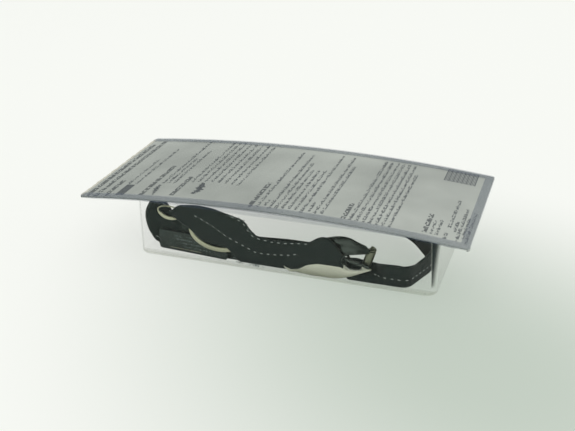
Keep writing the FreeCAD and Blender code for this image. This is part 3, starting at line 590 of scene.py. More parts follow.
@dataclass(frozen=True)
class CoatedBoard(Finish):
    """Grey coated carton board, white underneath: softly glossy, with waves that catch light in streaks."""

    light: str = "#ABB0A9"
    back: str = "#EDEEEA"
    streak: float = 55.0

    def dress(self, tree: bpy.types.NodeTree, shader: bpy.types.Node) -> None:
        """Adds the clouded coat, its waves across the card, the board's tooth and its white back.

        Args:
            tree: the material's node tree.
            shader: its Principled node.
        """
        spot = self.place(tree)
        drawn = self.place(tree, (1.0, 0.35, 1.0), 12.0)
        cloud = add_node(tree, "TexNoise", {"Vector": spot, "Scale": 0.012, "Detail": 3.0})
        tooth = add_node(tree, "TexNoise", {"Vector": spot, "Scale": 1.6, "Detail": 4.0})
        waves = add_node(tree, "TexNoise", {"Vector": drawn, "Scale": self.streak, "Detail": 2.5})
        ramp = add_node(tree, "ValToRGB", {0: cloud}, ramp=[(0.36, self.colour), (0.66, self.light)])
        side = add_node(tree, "TexCoord").outputs["Normal"]
        facing = add_node(tree, "SeparateXYZ", {0: side}).outputs["Z"]
        under = add_node(tree, "Math", {0: facing, 1: -0.5}, operation="LESS_THAN")
        tone = add_node(tree, "Mix", {0: under, 6: ramp, 7: self.back}, data_type="RGBA")
        sheen = add_node(tree, "Bump", {"Height": waves, "Strength": 0.8, "Distance": 1.6 * MM})
        relief = {"Height": tooth, "Strength": 0.12, "Distance": 0.1 * MM, "Normal": sheen}
        plug(shader, {"Base Color": tone, "Normal": add_node(tree, "Bump", relief)})


@dataclass(frozen=True)
class GrainedSurface(Finish):
    """A plain material with an even grain: moulded plastic, rubber, thread or ink."""

    light: str = "#FFFFFF"
    grain: float = 0.8
    depth: float = 0.05

    def dress(self, tree: bpy.types.NodeTree, shader: bpy.types.Node) -> None:
        """Adds the grain to colour and relief. The grain's size is in millimetres.

        Args:
            tree: the material's node tree.
            shader: its Principled node.
        """
        spot = self.place(tree)
        noise = add_node(tree, "TexNoise", {"Vector": spot, "Scale": 1.0 / self.grain, "Detail": 4.0})
        ramp = add_node(tree, "ValToRGB", {0: noise}, ramp=[(0.35, self.colour), (0.68, self.light)])
        bump = add_node(tree, "Bump", {"Height": noise, "Strength": 0.3, "Distance": self.depth * MM})
        plug(shader, {"Base Color": ramp, "Normal": bump})


@dataclass(frozen=True)
class PaleTable(Finish):
    """A matt pale table that, seen by the eye alone, glows with a painted tone going from grey green to
    white; this painted light also brightens the floor seen under the card.
    """

    near: str = "#B8C5B8"
    far: str = "#FDFEFA"
    middle: Point2 = (143.0, -117.0)
    turn: float = 52.0
    stretch: Point2 = (0.577, 0.799)
    near_reach: float = 23.0
    far_reach: float = 430.0
    seen: float = 0.74

    def dress(self, tree: bpy.types.NodeTree, shader: bpy.types.Node) -> None:
        """Adds the slow change of tone as a painted glow for the eye, mixed with the lit surface so that
        shadows stay in part.

        Args:
            tree: the material's node tree.
            shader: its Principled node.
        """
        spot = {
            "Vector": add_node(tree, "TexCoord").outputs["Object"],
            "Location": (self.middle[0] * MM, self.middle[1] * MM, 0.0),
            "Rotation": (0.0, 0.0, math.radians(self.turn)),
            "Scale": (*self.stretch, 1.0),
        }
        oval = add_node(tree, "Mapping", spot, vector_type="TEXTURE")
        away = add_node(tree, "VectorMath", {0: oval}, operation="LENGTH").outputs["Value"]
        reach = {"Value": away, "From Min": self.near_reach * MM, "From Max": self.far_reach * MM}
        share = add_node(tree, "MapRange", reach, interpolation_type="SMOOTHSTEP")
        tone = add_node(tree, "Mix", {0: share, 6: self.near, 7: self.far}, data_type="RGBA")
        # painted light: an emission seen only by the eye, grey green round a point in front of the pack's
        # right end and white far off, which lights up the shaded floor under the card
        painted_floor_glow = add_node(tree, "Emission", {"Color": tone})
        path = add_node(tree, "LightPath").outputs["Is Camera Ray"]
        eye = add_node(tree, "Math", {0: path, 1: self.seen}, operation="MULTIPLY")
        output = next(n for n in tree.nodes if n.type == "OUTPUT_MATERIAL")
        plug(output, {"Surface": add_node(tree, "MixShader", {0: eye, 1: shader, 2: painted_floor_glow})})
        plug(shader, {"Specular IOR Level": 0.1})


class Palette:
    """Every finish of the object, made once."""

    def __init__(self) -> None:
        """Builds the materials."""
        woven, metal, grained = WovenNylon, PlatedMetal, GrainedSurface
        self.webbing = woven("woven_nylon_webbing", "#17211F", 0.85, "#222F2C").build()
        self.webbing_edge = woven("cut_nylon_edge", "#232D2B", 0.9, "#75807B", 0.7, fuzz=True).build()
        self.tab_webbing = woven("woven_nylon_tab", "#1A2322", 0.85, spread=Spread.SPACE).build()
        self.lining = woven("carbon_yarn_lining", "#232827", 0.8, "#3C4341").build()
        self.thread = grained("polyester_thread", "#9FA8A3", 0.7, "#C4CBC6", 0.35, 0.1).build()
        self.loose_yarn = grained("loose_yarn_ends", "#414D4A", 0.8, "#6B7773", 0.9).build()
        self.nickel = metal("nickel_plate", "#F0F1E2", 0.3, "#E2E3D3").build()
        self.bright = metal("rolled_nickel_rim", "#F1F3EC", 0.2, "#D9DBD0").build()
        # painted dark reflection and shade: a darker copy of the nickel, for the buckle's upper bar, heel
        # bar, eyelet and prong
        self.painted_dark_reflection_nickel = metal("nickel_painted_dark_reflection", "#5A625E", 0.22, "#474E4A").build()
        self.ring = metal("nickel_ring_plate", "#D6D6BE", 0.3, "#B9B99F").build()
        self.roller = metal("dull_nickel_roller", "#8E9280", 0.34, "#777B69", 0.05).build()
        self.sheet = ClearSheet("clear_pet_sheet", "#C2C9BF", 0.08).build()
        self.board = CoatedBoard("grey_coated_board", "#8B908A", 0.38).build()
        self.raw_board = grained("raw_board_fold", "#B9B7A9", 0.7, "#DAD8CC", 1.2).build()
        self.ink = grained("grey_ink", "#3A4146", 0.5, "#535A5F", 1.4).build()
        self.dark_ink = grained("dark_ink", "#31383B", 0.5, "#4A5155", 1.4).build()
        self.shell = grained("moulded_abs_shell", "#252F2D", 0.55, "#323E3A", 6.0, 0.06).build()
        self.mark = grained("pad_printed_mark", "#56645F", 0.6, "#66746F").build()
        # a thin pale line on the module's face, near its lower edge
        self.pale_mark = grained("pale_module_line", "#8F8F77", 0.6, "#A3A38A").build()
        self.rubber = grained("nitrile_gasket", "#1A1C1C", 0.75, "#25292A", 0.5).build()
        self.steel = metal("zinc_plated_screw", "#9DA2A0", 0.32).build()
        self.brass = metal("brass_contact", "#C2A862", 0.28, "#9A8146").build()
        self.resistor = grained("lacquered_resistor", "#C7AE83", 0.35, "#D6C09A", 0.5).build()
        self.lead = metal("tinned_copper_lead", "#C4C6C4", 0.3).build()


# The webbing's run, in plan and from the front, in millimetres


def rounded_run(points: Sequence[Point3], step: float) -> list[Vector]:
    """Points along straight runs whose corners are rounded.

    Args:
        points: x, y and corner radius of each corner.
        step: the longest distance between two points.

    Returns:
        The points in plan.
    """
    run: list[Vector] = [Vector(points[0][:2])]
    for before, here, after in zip(points, points[1:], points[2:]):
        corner = Vector(here[:2])
        back = (Vector(before[:2]) - corner).normalized()
        ahead = (Vector(after[:2]) - corner).normalized()
        half = back.angle(ahead) / 2
        reach = here[2] / math.tan(half)
        centre = corner + (back + ahead).normalized() * (here[2] / math.sin(half))
        start = corner + back * reach - centre
        sweep = start.angle_signed(corner + ahead * reach - centre)
        count = max(3, math.ceil(abs(sweep) * here[2] / step), math.ceil(abs(sweep) / 0.3))
        for i in range(count + 1):
            turn = Matrix.Rotation(-sweep * i / count, 2)
            run.append(centre + turn @ start)
    run.append(Vector(points[-1][:2]))
    full: list[Vector] = [run[0]]
    for point in run[1:]:
        gap = (point - full[-1]).length
        if gap < 0.02:
            continue
        count = max(1, math.ceil(gap / step))
        start = full[-1]
        full.extend(start.lerp(point, i / count) for i in range(1, count + 1))
    return full


@dataclass
class Station:
    """One cross-section of the webbing."""

    place: Vector
    along: float
    low: float
    high: float
    tail: bool
    out: Vector | None = None


@dataclass
class Webbing:
    """The strap's nylon webbing, its conductive lining and its stitching."""

    thick: float = 1.5
    width: float = 19.5
    step: float = 1.1
    lining: float = 0.4
    lining_inset: float = 2.2
    stitch_length: float = 2.2
    stitch_pitch: float = 4.4
    stitch_width: float = 0.42
    gather_depth: float = 0.35
    ripple_depth: float = 0.12
    point_start: float = -60.0
    point_end: float = -66.5
    fold: tuple[Point3, ...] = (
        (20.0, -40.72, 0), (30.0, -40.72, 12), (37.0, -43.2, 12), (45.0, -43.2, 2.0), (45.0, -39.2, 2.0),
    )
    loop: tuple[Point3, ...] = (
        (12.0, -39.2, 40), (-6.0, -41.45, 40), (-28.0, -41.45, 60), (-77.5, -37.12, 12),
        (-88.6, -38.4, 3), (-88.6, 41.5, 20), (52.0, 41.5, 45), (78.0, 23.5, 50), (99.6, -12.0, 20),
        (88.8, -44.8, 6), (73.0, -44.8, 4), (68.2, -38.5, 3),
    )
    tail: tuple[Point3, ...] = (
        (54.0, -38.5, 5), (46.8, -46.95, 3), (-8.0, -46.95, 35), (-17.5, -47.25, 35), (-67.0, -47.25, 0),
    )
    loop_low: Table = (
        (-95.0, 6.0), (-88.0, 5.0), (-82.0, 3.0), (-76.0, 1.3), (22.0, 1.3), (36.0, 10.7), (48.5, 10.7),
        (56.0, 1.3), (105.0, 1.3),
    )
    loop_high: Table = (
        (-95.0, 36.5), (-80.0, 35.5), (-72.0, 34.0), (-70.3, 32.0), (-68.8, 27.7), (-60.0, 24.0),
        (-49.0, 20.3), (26.0, 20.3), (38.0, 21.6), (46.8, 21.6), (55.0, 13.4), (61.0, 12.9), (68.2, 12.2),
        (73.0, 15.4), (86.0, 16.0), (105.0, 20.3),
    )
    tail_low: Table = (
        (-66.5, 30.5), (-51.5, 21.0), (-45.5, 15.0), (-41.0, 14.1), (-28.0, 12.6), (-24.5, 9.6),
        (-19.5, 3.4), (8.0, 3.0), (15.0, 3.3), (21.0, 4.4), (25.5, 7.9), (32.6, 9.8), (47.5, 10.0),
        (49.5, 6.0), (51.0, 1.3), (60.0, 1.3),
    )
    tail_high: Table = (
        (-66.5, 30.6), (-59.5, 37.0), (-47.0, 38.6), (-36.0, 38.0), (-27.0, 35.6), (-21.0, 34.2),
        (-15.0, 32.8), (-11.5, 27.0), (-7.0, 23.2), (2.0, 21.9), (20.0, 22.9), (27.0, 23.5), (32.5, 27.6),
        (37.0, 29.2), (42.0, 27.0), (46.0, 22.3), (48.8, 16.2), (53.0, 14.0), (60.0, 13.4),
    )
    left_lean: Table = (
        (2.6, 8.0), (7.1, 5.0), (11.4, 2.2), (16.5, 0.6), (21.7, 0.0), (26.5, 0.9), (31.5, 3.9),
        (36.0, 6.5),
    )
    rear_low: Table = ((-89.0, 21.5), (-72.0, 13.0), (-45.0, 2.6), (-30.0, 1.3), (105.0, 1.3))
    rear_high: Table = ((-89.0, 36.5), (-72.0, 31.0), (-45.0, 21.8), (-30.0, 20.3), (105.0, 20.3))
    right_dip: Table = ((-46.0, 0.0), (-36.0, 3.4), (-24.0, 3.4), (-6.0, 0.0))
    tail_face: Table = ((-17.5, -47.25), (-8.0, -46.95))
    front_plane: float = -44.8
    lower_row: Table = (
        (-49.5, 31.8), (-45.4, 30.4), (-36.4, 26.2), (-27.1, 20.3), (-17.6, 16.2), (-7.4, 12.0),
        (-2.8, 11.8), (5.3, 12.2), (14.8, 13.4), (21.0, 15.2),
    )
    upper_row: Table = (
        (-24.5, 34.2), (-20.0, 33.0), (-15.8, 31.4), (-12.4, 26.2), (-9.2, 22.6), (-5.7, 21.6),
        (2.4, 20.6), (10.9, 20.8), (20.8, 22.2), (26.0, 22.6),
    )

    def stations(self) -> list[Station]:
        """Cross-sections from the fold, round the loop and along the tail to its tip.

        Returns:
            The stations in order.
        """
        run = rounded_run(self.fold + self.loop + self.tail, self.step)
        middle = next(i for i, p in enumerate(run) if i > len(run) // 2 and p.x < 58.2 and p.y < -30.0)
        rows: list[Station] = []
        along = 0.0
        for i, place in enumerate(run):
            along += (place - run[i - 1]).length if i else 0.0
            tail = i >= middle
            low, high = (self.tail_low, self.tail_high) if tail else (self.loop_low, self.loop_high)
            turn = (-32.0, -16.0) if place.x < 0.0 else (-14.0, 14.0)
            rear = share_of(place.y, *turn)
            dip = look_up(self.right_dip, place.y) if place.x > 84.0 else 0.0
            bottom = look_up(low, place.x) * (1.0 - rear)
            bottom += look_up(self.rear_low, place.x) * rear
            top = (look_up(high, place.x) - dip) * (1.0 - rear)
            top += look_up(self.rear_high, place.x) * rear
            rows.append(Station(place, along, bottom, top, tail))
        self.soften(rows)
        return rows

    def soften(self, rows: list[Station]) -> None:
        """Rounds the corners of the side view and works out each station's outward direction.

        Args:
            rows: the stations, which change.
        """
        count = len(rows)
        kernel = np.array([1.0, 2.0, 3.0, 2.0, 1.0]) / 9.0
        for field_name in ("low", "high"):
            values = np.array([getattr(r, field_name) for r in rows])
            padded = np.pad(values, 2, mode="edge")
            for row, value in zip(rows, np.convolve(padded, kernel, mode="valid")):
                setattr(row, field_name, float(value))
        for i, row in enumerate(rows):
            ahead = rows[min(i + 1, count - 1)].place - rows[max(i - 1, 0)].place
            ahead.normalize()
            row.out = Vector((-ahead.y, ahead.x))

    def settled(self, row: Station, height: float) -> Point2:
        """How far the cloth leans in at the strap's left end and hangs forward under the roller.

        Args:
            row: the station.
            height: height of the cloth there.

        Returns:
            The shift along the card and towards the back.
        """
        lean = look_up(self.left_lean, height) * share_of(row.place.x, -79.0, -86.0)
        behind = row.place.y > -30.0 or row.place.y < self.front_plane
        if behind or not 47.0 < row.place.x < 74.0:
            return (lean, 0.0)
        return (lean, (self.front_plane - row.place.y) * share_of(height, 9.5, 3.5))

    def strip(
        self, name: str, rows: Sequence[Station], cells: int, thick: float, shift: float, inset: float
    ) -> bpy.types.Object:
        """A strip of cloth along stations.

        Args:
            name: the piece's name.
            rows: the stations.
            cells: cells across the strip.
            thick: the cloth's thickness.
            shift: distance of its middle from the run's middle, to its left.
            inset: how far its edges lie inside the webbing's.

        Returns:
            The strip, with a map in centimetres.
        """
        piece = grid(name, len(rows) - 1, cells)
        last = len(rows) - 1
        mesh = piece.data
        marks: dict[int, Point2] = {}
        for vertex in mesh.vertices:
            i = round((vertex.co.x + 0.5) * last)
            share = vertex.co.y + 0.5
            row = rows[i]
            low, high = row.low + inset, row.high - inset
            height = low + (high - low) * share
            gather = max(0.0, 1.0 - (row.high - row.low) / self.width)
            ripple = gather * self.gather_depth * math.sin(share * 19.0 + row.along * 0.35)
            ripple += self.ripple_depth * math.sin(row.along * 0.21) * math.sin(share * 3.1)
            side = row.out * (shift + ripple)
            if row.tail and row.place.x < self.point_start:
                reach = (row.place.x - self.point_end) / (self.point_start - self.point_end)
                height = min(height, row.high)
                side = side * max(0.2, reach)
            shift_x, shift_y = self.settled(row, height)
            place = Vector((row.place.x + side.x + shift_x, row.place.y + side.y + shift_y, height))
            vertex.co = place * MM
            marks[vertex.index] = (row.along / 10.0, (height - row.low) / 10.0)
        layer = mesh.uv_layers[0]
        for corner in mesh.loops:
            layer.data[corner.index].uv = marks[corner.vertex_index]
        rim = {"use_rim": True, "material_offset_rim": 1}
        apply_modifier(piece, "SOLIDIFY", thickness=thick * MM, offset=0.0, **rim)
        apply_modifier(piece, "SUBSURF", levels=1, render_levels=1)
        activate(piece)
        bpy.ops.object.shade_smooth()
        return piece

    def stitch(self, rows: Iterable[tuple[Vector, Vector, Vector]]) -> bpy.types.Object:
        """Short thread stitches, each a flattened bead let into the cloth.

        Args:
            rows: each stitch's middle, its direction and the cloth's outward direction.

        Returns:
            The joined stitches.
        """
        deselect()
        bpy.ops.mesh.primitive_uv_sphere_add(segments=8, ring_count=6, radius=0.5)
        bead = bpy.context.object
        beads = []
        for middle, along, out in rows:
            copy = bead.copy()
            copy.data = bead.data.copy()
            bpy.context.scene.collection.objects.link(copy)
            side = out.cross(along).normalized()
            frame = Matrix((along, side, out)).transposed().to_4x4()
            stretch = Matrix.Diagonal((self.stitch_length * MM, self.stitch_width * MM, 0.34 * MM, 1.0))
            copy.matrix_world = Matrix.Translation(middle * MM) @ frame @ stretch
            beads.append(copy)
        bpy.data.objects.remove(bead)
        whole = join(beads, "strap_stitches")
        smooth(whole, 60.0)
        return whole

    def front_stitches(self, row: Sequence[Point2]) -> list[tuple[Vector, Vector, Vector]]:
        """Stitches on the tail's face along a line drawn from the front.

        Args:
            row: x and z of the line's corners.

        Returns:
            Middle, direction and outward direction of each stitch.
        """
        points = [Vector((x, 0.0, z)) for x, z in row]
        lengths = np.cumsum([0.0] + [(b - a).length for a, b in zip(points, points[1:])])

        def spot(at: float) -> Vector:
            """The place at a distance along the line."""
            x, z = (float(np.interp(at, lengths, [p[axis] for p in points])) for axis in (0, 2))
            return Vector((x, 0.0, z))

        found = []
        for at in np.arange(self.stitch_pitch / 2, lengths[-1], self.stitch_pitch):
            middle = spot(at)
            along = (spot(at + 0.5) - middle).normalized()
            middle.y = look_up(self.tail_face, middle.x) - self.thick / 2 - 0.05
            found.append((middle, along, FRONT))
        return found

    def loop_stitches(self, rows: Sequence[Station]) -> list[tuple[Vector, Vector, Vector]]:
        """Stitches on both faces of the loop, in two rows.

        Args:
            rows: the webbing's stations.

        Returns:
            Middle, direction and outward direction of each stitch.
        """
        found = []
        loop = [r for r in rows if not r.tail and not (r.place.y < -30.0 and 10.0 < r.place.x < 67.0)]
        spots = np.arange(loop[0].along, loop[-1].along, self.stitch_pitch)
        lines = [r.along for r in loop]
        for at in spots:
            i = int(np.clip(np.searchsorted(lines, at), 1, len(loop) - 1))
            here, before = loop[i], loop[i - 1]
            if here.along - before.along > 2.5 * self.step:
                continue
            share = (at - before.along) / max(here.along - before.along, 1e-6)
            place = before.place.lerp(here.place, share)
            flat = (here.place - before.place).normalized()
            marks = [("low", before.low + (here.low - before.low) * share + 5.2)]
            if here.place.x < 60.0:
                marks.append(("high", before.high + (here.high - before.high) * share - 2.2))
            for mark, rise in marks:
                slope = (getattr(here, mark) - getattr(before, mark)) / self.step
                along = Vector((flat.x, flat.y, slope)).normalized()
                for sign in (1.0, -1.0):
                    out = Vector((here.out.x, here.out.y, 0.0)) * sign
                    lean = Vector((*self.settled(here, rise), rise))
                    middle = Vector((place.x, place.y, 0.0)) + lean + out * (self.thick / 2 + 0.05)
                    found.append((middle, along, out))
        return found

    def frays(self) -> bpy.types.Object:
        """Loose yarn ends along the tail's lower edge and at its thick upper corner.

        Returns:
            The joined yarns.
        """
        dice = random.Random(3)
        yarns = []
        spots = [(dice.choice((-21.0, -17.5, -9.0, -5.5)) + dice.gauss(0.0, 0.9), -1.0) for _ in range(34)]
        spots += [(x + dice.uniform(-0.3, 0.3), 1.0) for x in np.arange(-26.0, -9.0, 0.55)]
        for x, sign in spots:
            edge = self.tail_low if sign < 0.0 else self.tail_high
            z = look_up(edge, x) - sign * dice.uniform(0.4, 1.6)
            place = Vector((x, -47.9 - dice.uniform(0.0, 0.3), z))
            heading = Vector((dice.uniform(-0.8, 0.8), 0.0, sign)).normalized()
            length = dice.uniform(1.2, 2.3)
            sections = []
            for i in range(4):
                curl = Vector((math.sin(i * 1.3 + x), 0.0, 0.0)) * 0.12 * i
                size = 0.0 if i in (0, 3) else 0.4
                core = place + heading * (length * i / 3) + curl
                sections.append(Section(core, ALONG, -FRONT, size, size))
            yarns.append(sweep("yarn_end", sections, 5, 1.0))
        return join(yarns, "strap_yarn_ends")

    def build(self, palette: Palette) -> None:
        """Makes the webbing, its lining and its stitches.

        Args:
            palette: the finishes.
        """
        rows = self.stations()
        band = self.strip("strap_webbing", rows, 9, self.thick, 0.0, 0.0)
        hand_in(band, Body.PACK, "webbing", palette.webbing, palette.webbing_edge)
        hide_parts("band")
        start = next(i for i, r in enumerate(rows) if r.along > 60.0 and r.place.x < 24.0)
        end = next(i for i, r in enumerate(rows) if i > len(rows) // 2 and r.place.y < -24.0)
        side = self.thick / 2 + self.lining / 2
        inner = self.strip("strap_lining", rows[start:end], 5, self.lining, -side, self.lining_inset)
        hand_in(inner, Body.PACK, "lining", palette.lining, palette.lining)
        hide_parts("band_lining")
        spots = self.front_stitches(self.lower_row) + self.front_stitches(self.upper_row)
        spots += self.loop_stitches(rows)
        stitches = self.stitch(spots)
        hand_in(stitches, Body.PACK, "webbing", palette.thread)
        frays = self.frays()
        hand_in(frays, Body.PACK, "webbing", palette.loose_yarn)
        LOG.info("webbing %.0f mm long with %d stitches", rows[-1].along, len(spots))


@dataclass(frozen=True)
class RingForm:
    """A flat leash ring: an oval of two halves with a straight bar at its right."""

    node: str
    name: str
    body: Body
    centre: Point2
    across: float
    below: float
    above: float
    bar: float
    widest: float
    top_width: float
    bar_width: float
    thick: float = 1.0
    full_turn: tuple[float, float] = (52.0, 308.0)

    def outline(self) -> list[tuple[Vector, float]]:
        """The ring's outer line in its own plane and the strip's width there.

        Returns:
            Points along and up, with widths, closed.
        """
        low, high = self.full_turn
        top, bar = self.top_width, self.bar_width
        widths = ((low, top), (150, top), (190, top * 1.3), (215, self.widest), (289, self.widest))
        widths += ((297, bar * 0.6), (high, bar * 0.55))
        points: list[tuple[Vector, float]] = []
        for turn in np.linspace(low, high, 40):
            angle = math.radians(float(turn))
            drop = self.above if math.sin(angle) > 0 else self.below
            reach = Vector((self.across * math.cos(angle), drop * math.sin(angle)))
            width = look_up(widths, float(turn))
            points.append((Vector(self.centre) + reach, width))
        start, end = points[0][0], points[-1][0]
        for share in np.linspace(0.08, 0.92, 9):
            height = end.y + (start.y - end.y) * float(share)
            points.append((Vector((self.bar, height)), self.bar_width))
        points.append(points[0])
        return points

    def build(
        self, finish: bpy.types.Material, stand: Callable[[float, float], Vector], out: Vector
    ) -> None:
        """Makes the ring.

        Args:
            finish: its material.
            stand: from along and up to its place in millimetres.
            out: its plane's outward direction.
        """
        line = self.outline()
        middle = Vector((sum(p.x for p, _ in line), sum(p.y for p, _ in line))) / len(line)
        sections = []
        count = len(line) - 1
        for i, (point, width) in enumerate(line):
            ahead = line[(i + 1) % count][0] - line[(i - 1) % count][0]
            inward = Vector((-ahead.y, ahead.x)).normalized()
            if inward.dot(middle - point) < 0:
                inward = -inward
            core = point + inward * (width / 2)
            tip = stand(*(core + inward)) - stand(*core)
            sections.append(Section(stand(*core), tip.normalized(), out, width, self.thick))
        sections[-1] = sections[0]
        piece = sweep(self.name, sections, 16, 0.4)
        hand_in(piece, self.body, "ring_nickel", finish)
        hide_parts(self.node)


@dataclass
class Hardware:
    """The metal of the strap: buckle plate, bars, prong, roller, eyelet and rings."""

    plate_edge: float = 0.35
    small_edge: float = 0.2
    leaf_top: float = 14.5
    leaf_end: float = 66.0
    sunk: float = 0.9
    toe_start: float = 62.0
    toe_top: float = 22.4
    toe_end: float = 67.6
    plain_leaf_top: float = 14.0
    plain_leaf_end: float = 64.0
    dull_start: float = 62.5
    sheet: float = 0.5
    rim_size: float = 0.9
    ring_plane: float = -45.4
    small_ring_off: float = 3.2
    tip_start: float = 18.6
    tip_length: float = 4.2
    tip_rise: float = 2.5
    leaf_plane: float = -45.3
    leaf_bulge: float = 0.8
    leaf_low: Table = (
        (11.2, 5.3), (12.6, 3.7), (15.8, 1.9), (21.0, 1.1), (30.0, 0.6), (42.9, 0.8), (51.5, 2.8),
        (58.4, 6.1), (66.2, 10.0),
    )
    leaf_high: Table = (
        (11.2, 5.7), (13.0, 4.9), (15.4, 4.2), (18.0, 4.6), (19.6, 8.0), (24.0, 11.5), (38.0, 13.5),
        (43.8, 14.4), (49.6, 10.6), (52.7, 8.8), (58.6, 9.0), (66.2, 10.6),
    )
    bar_plane: float = -43.6
    bar_facets: tuple[float, ...] = (0.9, 1.5, 0.7, 1.3, 0.4)
    bar_top: Table = (
        (41.5, 26.8), (46.0, 27.6), (51.5, 28.0), (53.8, 27.4), (58.0, 25.6), (62.6, 23.5), (65.0, 23.2),
    )
    bar_low: Table = (
        (41.5, 17.6), (45.0, 17.5), (48.5, 17.5), (52.5, 17.9), (57.0, 18.9), (62.0, 20.0), (64.5, 20.4),
    )
    rim: Table = (
        (43.8, 14.8), (46.4, 12.9), (49.6, 10.6), (52.7, 8.7), (55.6, 8.4), (58.6, 9.0), (61.4, 10.0),
    )

    def large_place(self, along: float, height: float) -> Vector:
        """A place in the large ring's plane."""
        return Vector((along, self.ring_plane, height))

    def small_place(self, along: float, height: float) -> Vector:
        """A place in the small ring's plane, off the turned layer of webbing."""
        return on_layer(along, height, self.small_ring_off)

    def rings(self, palette: Palette) -> None:
        """Makes the two leash rings.

        Args:
            palette: the finishes.
        """
        large = (Body.LARGE_RING, (-33.0, 21.0), 20.5, 13.5, 8.0, -19.5, 3.1, 1.9, 2.2)
        small = (Body.SMALL_RING, (-40.9, 28.9), 8.7, 6.1, 3.8, -31.9, 2.5, 0.7, 2.1, 1.0, (38.0, 322.0))
        RingForm("ring_large", "leash_ring_large", *large).build(palette.ring, self.large_place, FRONT)
        RingForm("ring_small", "leash_ring_small", *small).build(palette.ring, self.small_place, LAYER_OUT)

    def sink_leaf(self, plate: bpy.types.Object) -> None:
        """Sets the plate's leaf back under its pressed skin and trims its toe to the roller.

        Args:
            plate: the plate's mesh object.
        """
        for vertex in plate.data.vertices:
            x, z = vertex.co.x / MM, vertex.co.z / MM
            if z < self.leaf_top and x < self.leaf_end:
                vertex.co.y += self.sunk * MM
            if x > self.toe_start and z > self.toe_top:
                vertex.co.z = (self.toe_top + (z - self.toe_top) * 0.3) * MM
            if x > self.toe_end:
                vertex.co.x = (self.toe_end + (x - self.toe_end) * 0.4) * MM

    def skin(self, piece: bpy.types.Object, edge: float, angle: float, finish: bpy.types.Material) -> None:
        """Thickens a shaped sheet, eases its edges and hands it in.

        Args:
            piece: the sheet.
            edge: width of the eased edge, in millimetres.
            angle: edges sharper than this stay sharp, in degrees.
            finish: its material.
        """
        apply_modifier(piece, "SOLIDIFY", thickness=self.sheet * MM, offset=-1.0)
        face_outwards(piece)
        apply_modifier(piece, "BEVEL", width=edge * MM, segments=2, limit_method="ANGLE")
        smooth(piece, angle)
        hand_in(piece, Body.PACK, "nickel", finish)

    def leaf(self, palette: Palette) -> None:
        """Makes the leaf's smooth pressed skin, its tip bent forward over the strap's lower edge.

        Args:
            palette: the finishes.
        """
        skin = grid("buckle_leaf_skin", 44, 10)
        start, end = self.leaf_low[0][0], self.leaf_low[-1][0]
        for vertex in skin.data.vertices:
            x = start + (end - start) * (vertex.co.x + 0.5)
            share = vertex.co.y + 0.5
            low = look_up(self.leaf_low, x)
            high = look_up(self.leaf_high, x)
            bend = share_of(x, self.tip_start, self.tip_start - self.tip_length)
            width = min((high - low) / 8.0, 1.0)
            y = self.leaf_plane - self.leaf_bulge * width * math.sin(math.pi * share)
            y -= self.tip_rise * bend * bend * (3 - 2 * bend)
            vertex.co = Vector((x, y, low + (high - low) * share)) * MM
        self.skin(skin, 0.14, 50.0, palette.nickel)

    def paint_dark_reflection(self, plate: bpy.types.Object, palette: Palette) -> None:
        """Keeps the leaf's satin face in plain nickel, gives the upper bar darker nickel as a painted dark
        reflection, and the toe the roller's dull face.

        Args:
            plate: the plate's mesh object.
            palette: the finishes.
        """
        paint(plate, palette.nickel, palette.painted_dark_reflection_nickel, palette.roller)
        # faces above the plain leaf take the nickel painted dark as a painted reflection; faces in the toe
        # take the roller's dull metal
        for face in plate.data.polygons:
            x, z = face.center.x / MM, face.center.z / MM
            if z > self.plain_leaf_top or x > self.plain_leaf_end:
                face.material_index = 2 if x > self.dull_start else 1

    def upper_bar(self, palette: Palette) -> None:
        """Makes the faceted face of the buckle's upper bar, from the strap's hump to the toe, in nickel
        painted dark as a painted reflection.

        Args:
            palette: the finishes.
        """
        count = len(self.bar_top)
        bar = grid("buckle_upper_bar", count - 1, 4)
        for vertex in bar.data.vertices:
            i = round((vertex.co.x + 0.5) * (count - 1))
            share = vertex.co.y + 0.5
            x = self.bar_top[i][0] + (self.bar_low[i][0] - self.bar_top[i][0]) * share
            z = self.bar_top[i][1] + (self.bar_low[i][1] - self.bar_top[i][1]) * share
            facet = self.bar_facets[round(share * 4)]
            vertex.co = Vector((x, self.bar_plane - facet, z)) * MM
        self.skin(bar, 0.12, 20.0, palette.painted_dark_reflection_nickel)

    def window_rim(self, plate: bpy.types.Object, palette: Palette) -> None:
        """Makes the window's rolled lower rim on the plate's face.

        Args:
            plate: the plate's mesh object.
            palette: the finishes.
        """
        tree = BVHTree.FromObject(plate, bpy.context.evaluated_depsgraph_get())
        sections = []
        for i, (x, z) in enumerate(self.rim):
            hit = tree.find_nearest(Vector((x, -46.5, z - 0.3)) * MM)[0]
            before, after = self.rim[max(i - 1, 0)], self.rim[min(i + 1, len(self.rim) - 1)]
            ahead = Vector((after[0] - before[0], 0.0, after[1] - before[1])).normalized()
            size = 0.0 if i in (0, len(self.rim) - 1) else self.rim_size
            place = Vector((x, min(hit.y / MM - 0.1, -44.6), z))
            sections.append(Section(place, ahead.cross(FRONT), FRONT, size, size))
        rim = sweep("buckle_window_rim", sections, 10, 1.0)
        hand_in(rim, Body.PACK, "nickel", palette.bright)

    def build(self, palette: Palette) -> None:
        """Makes each metal piece with eased edges.

        Args:
            palette: the finishes.
        """
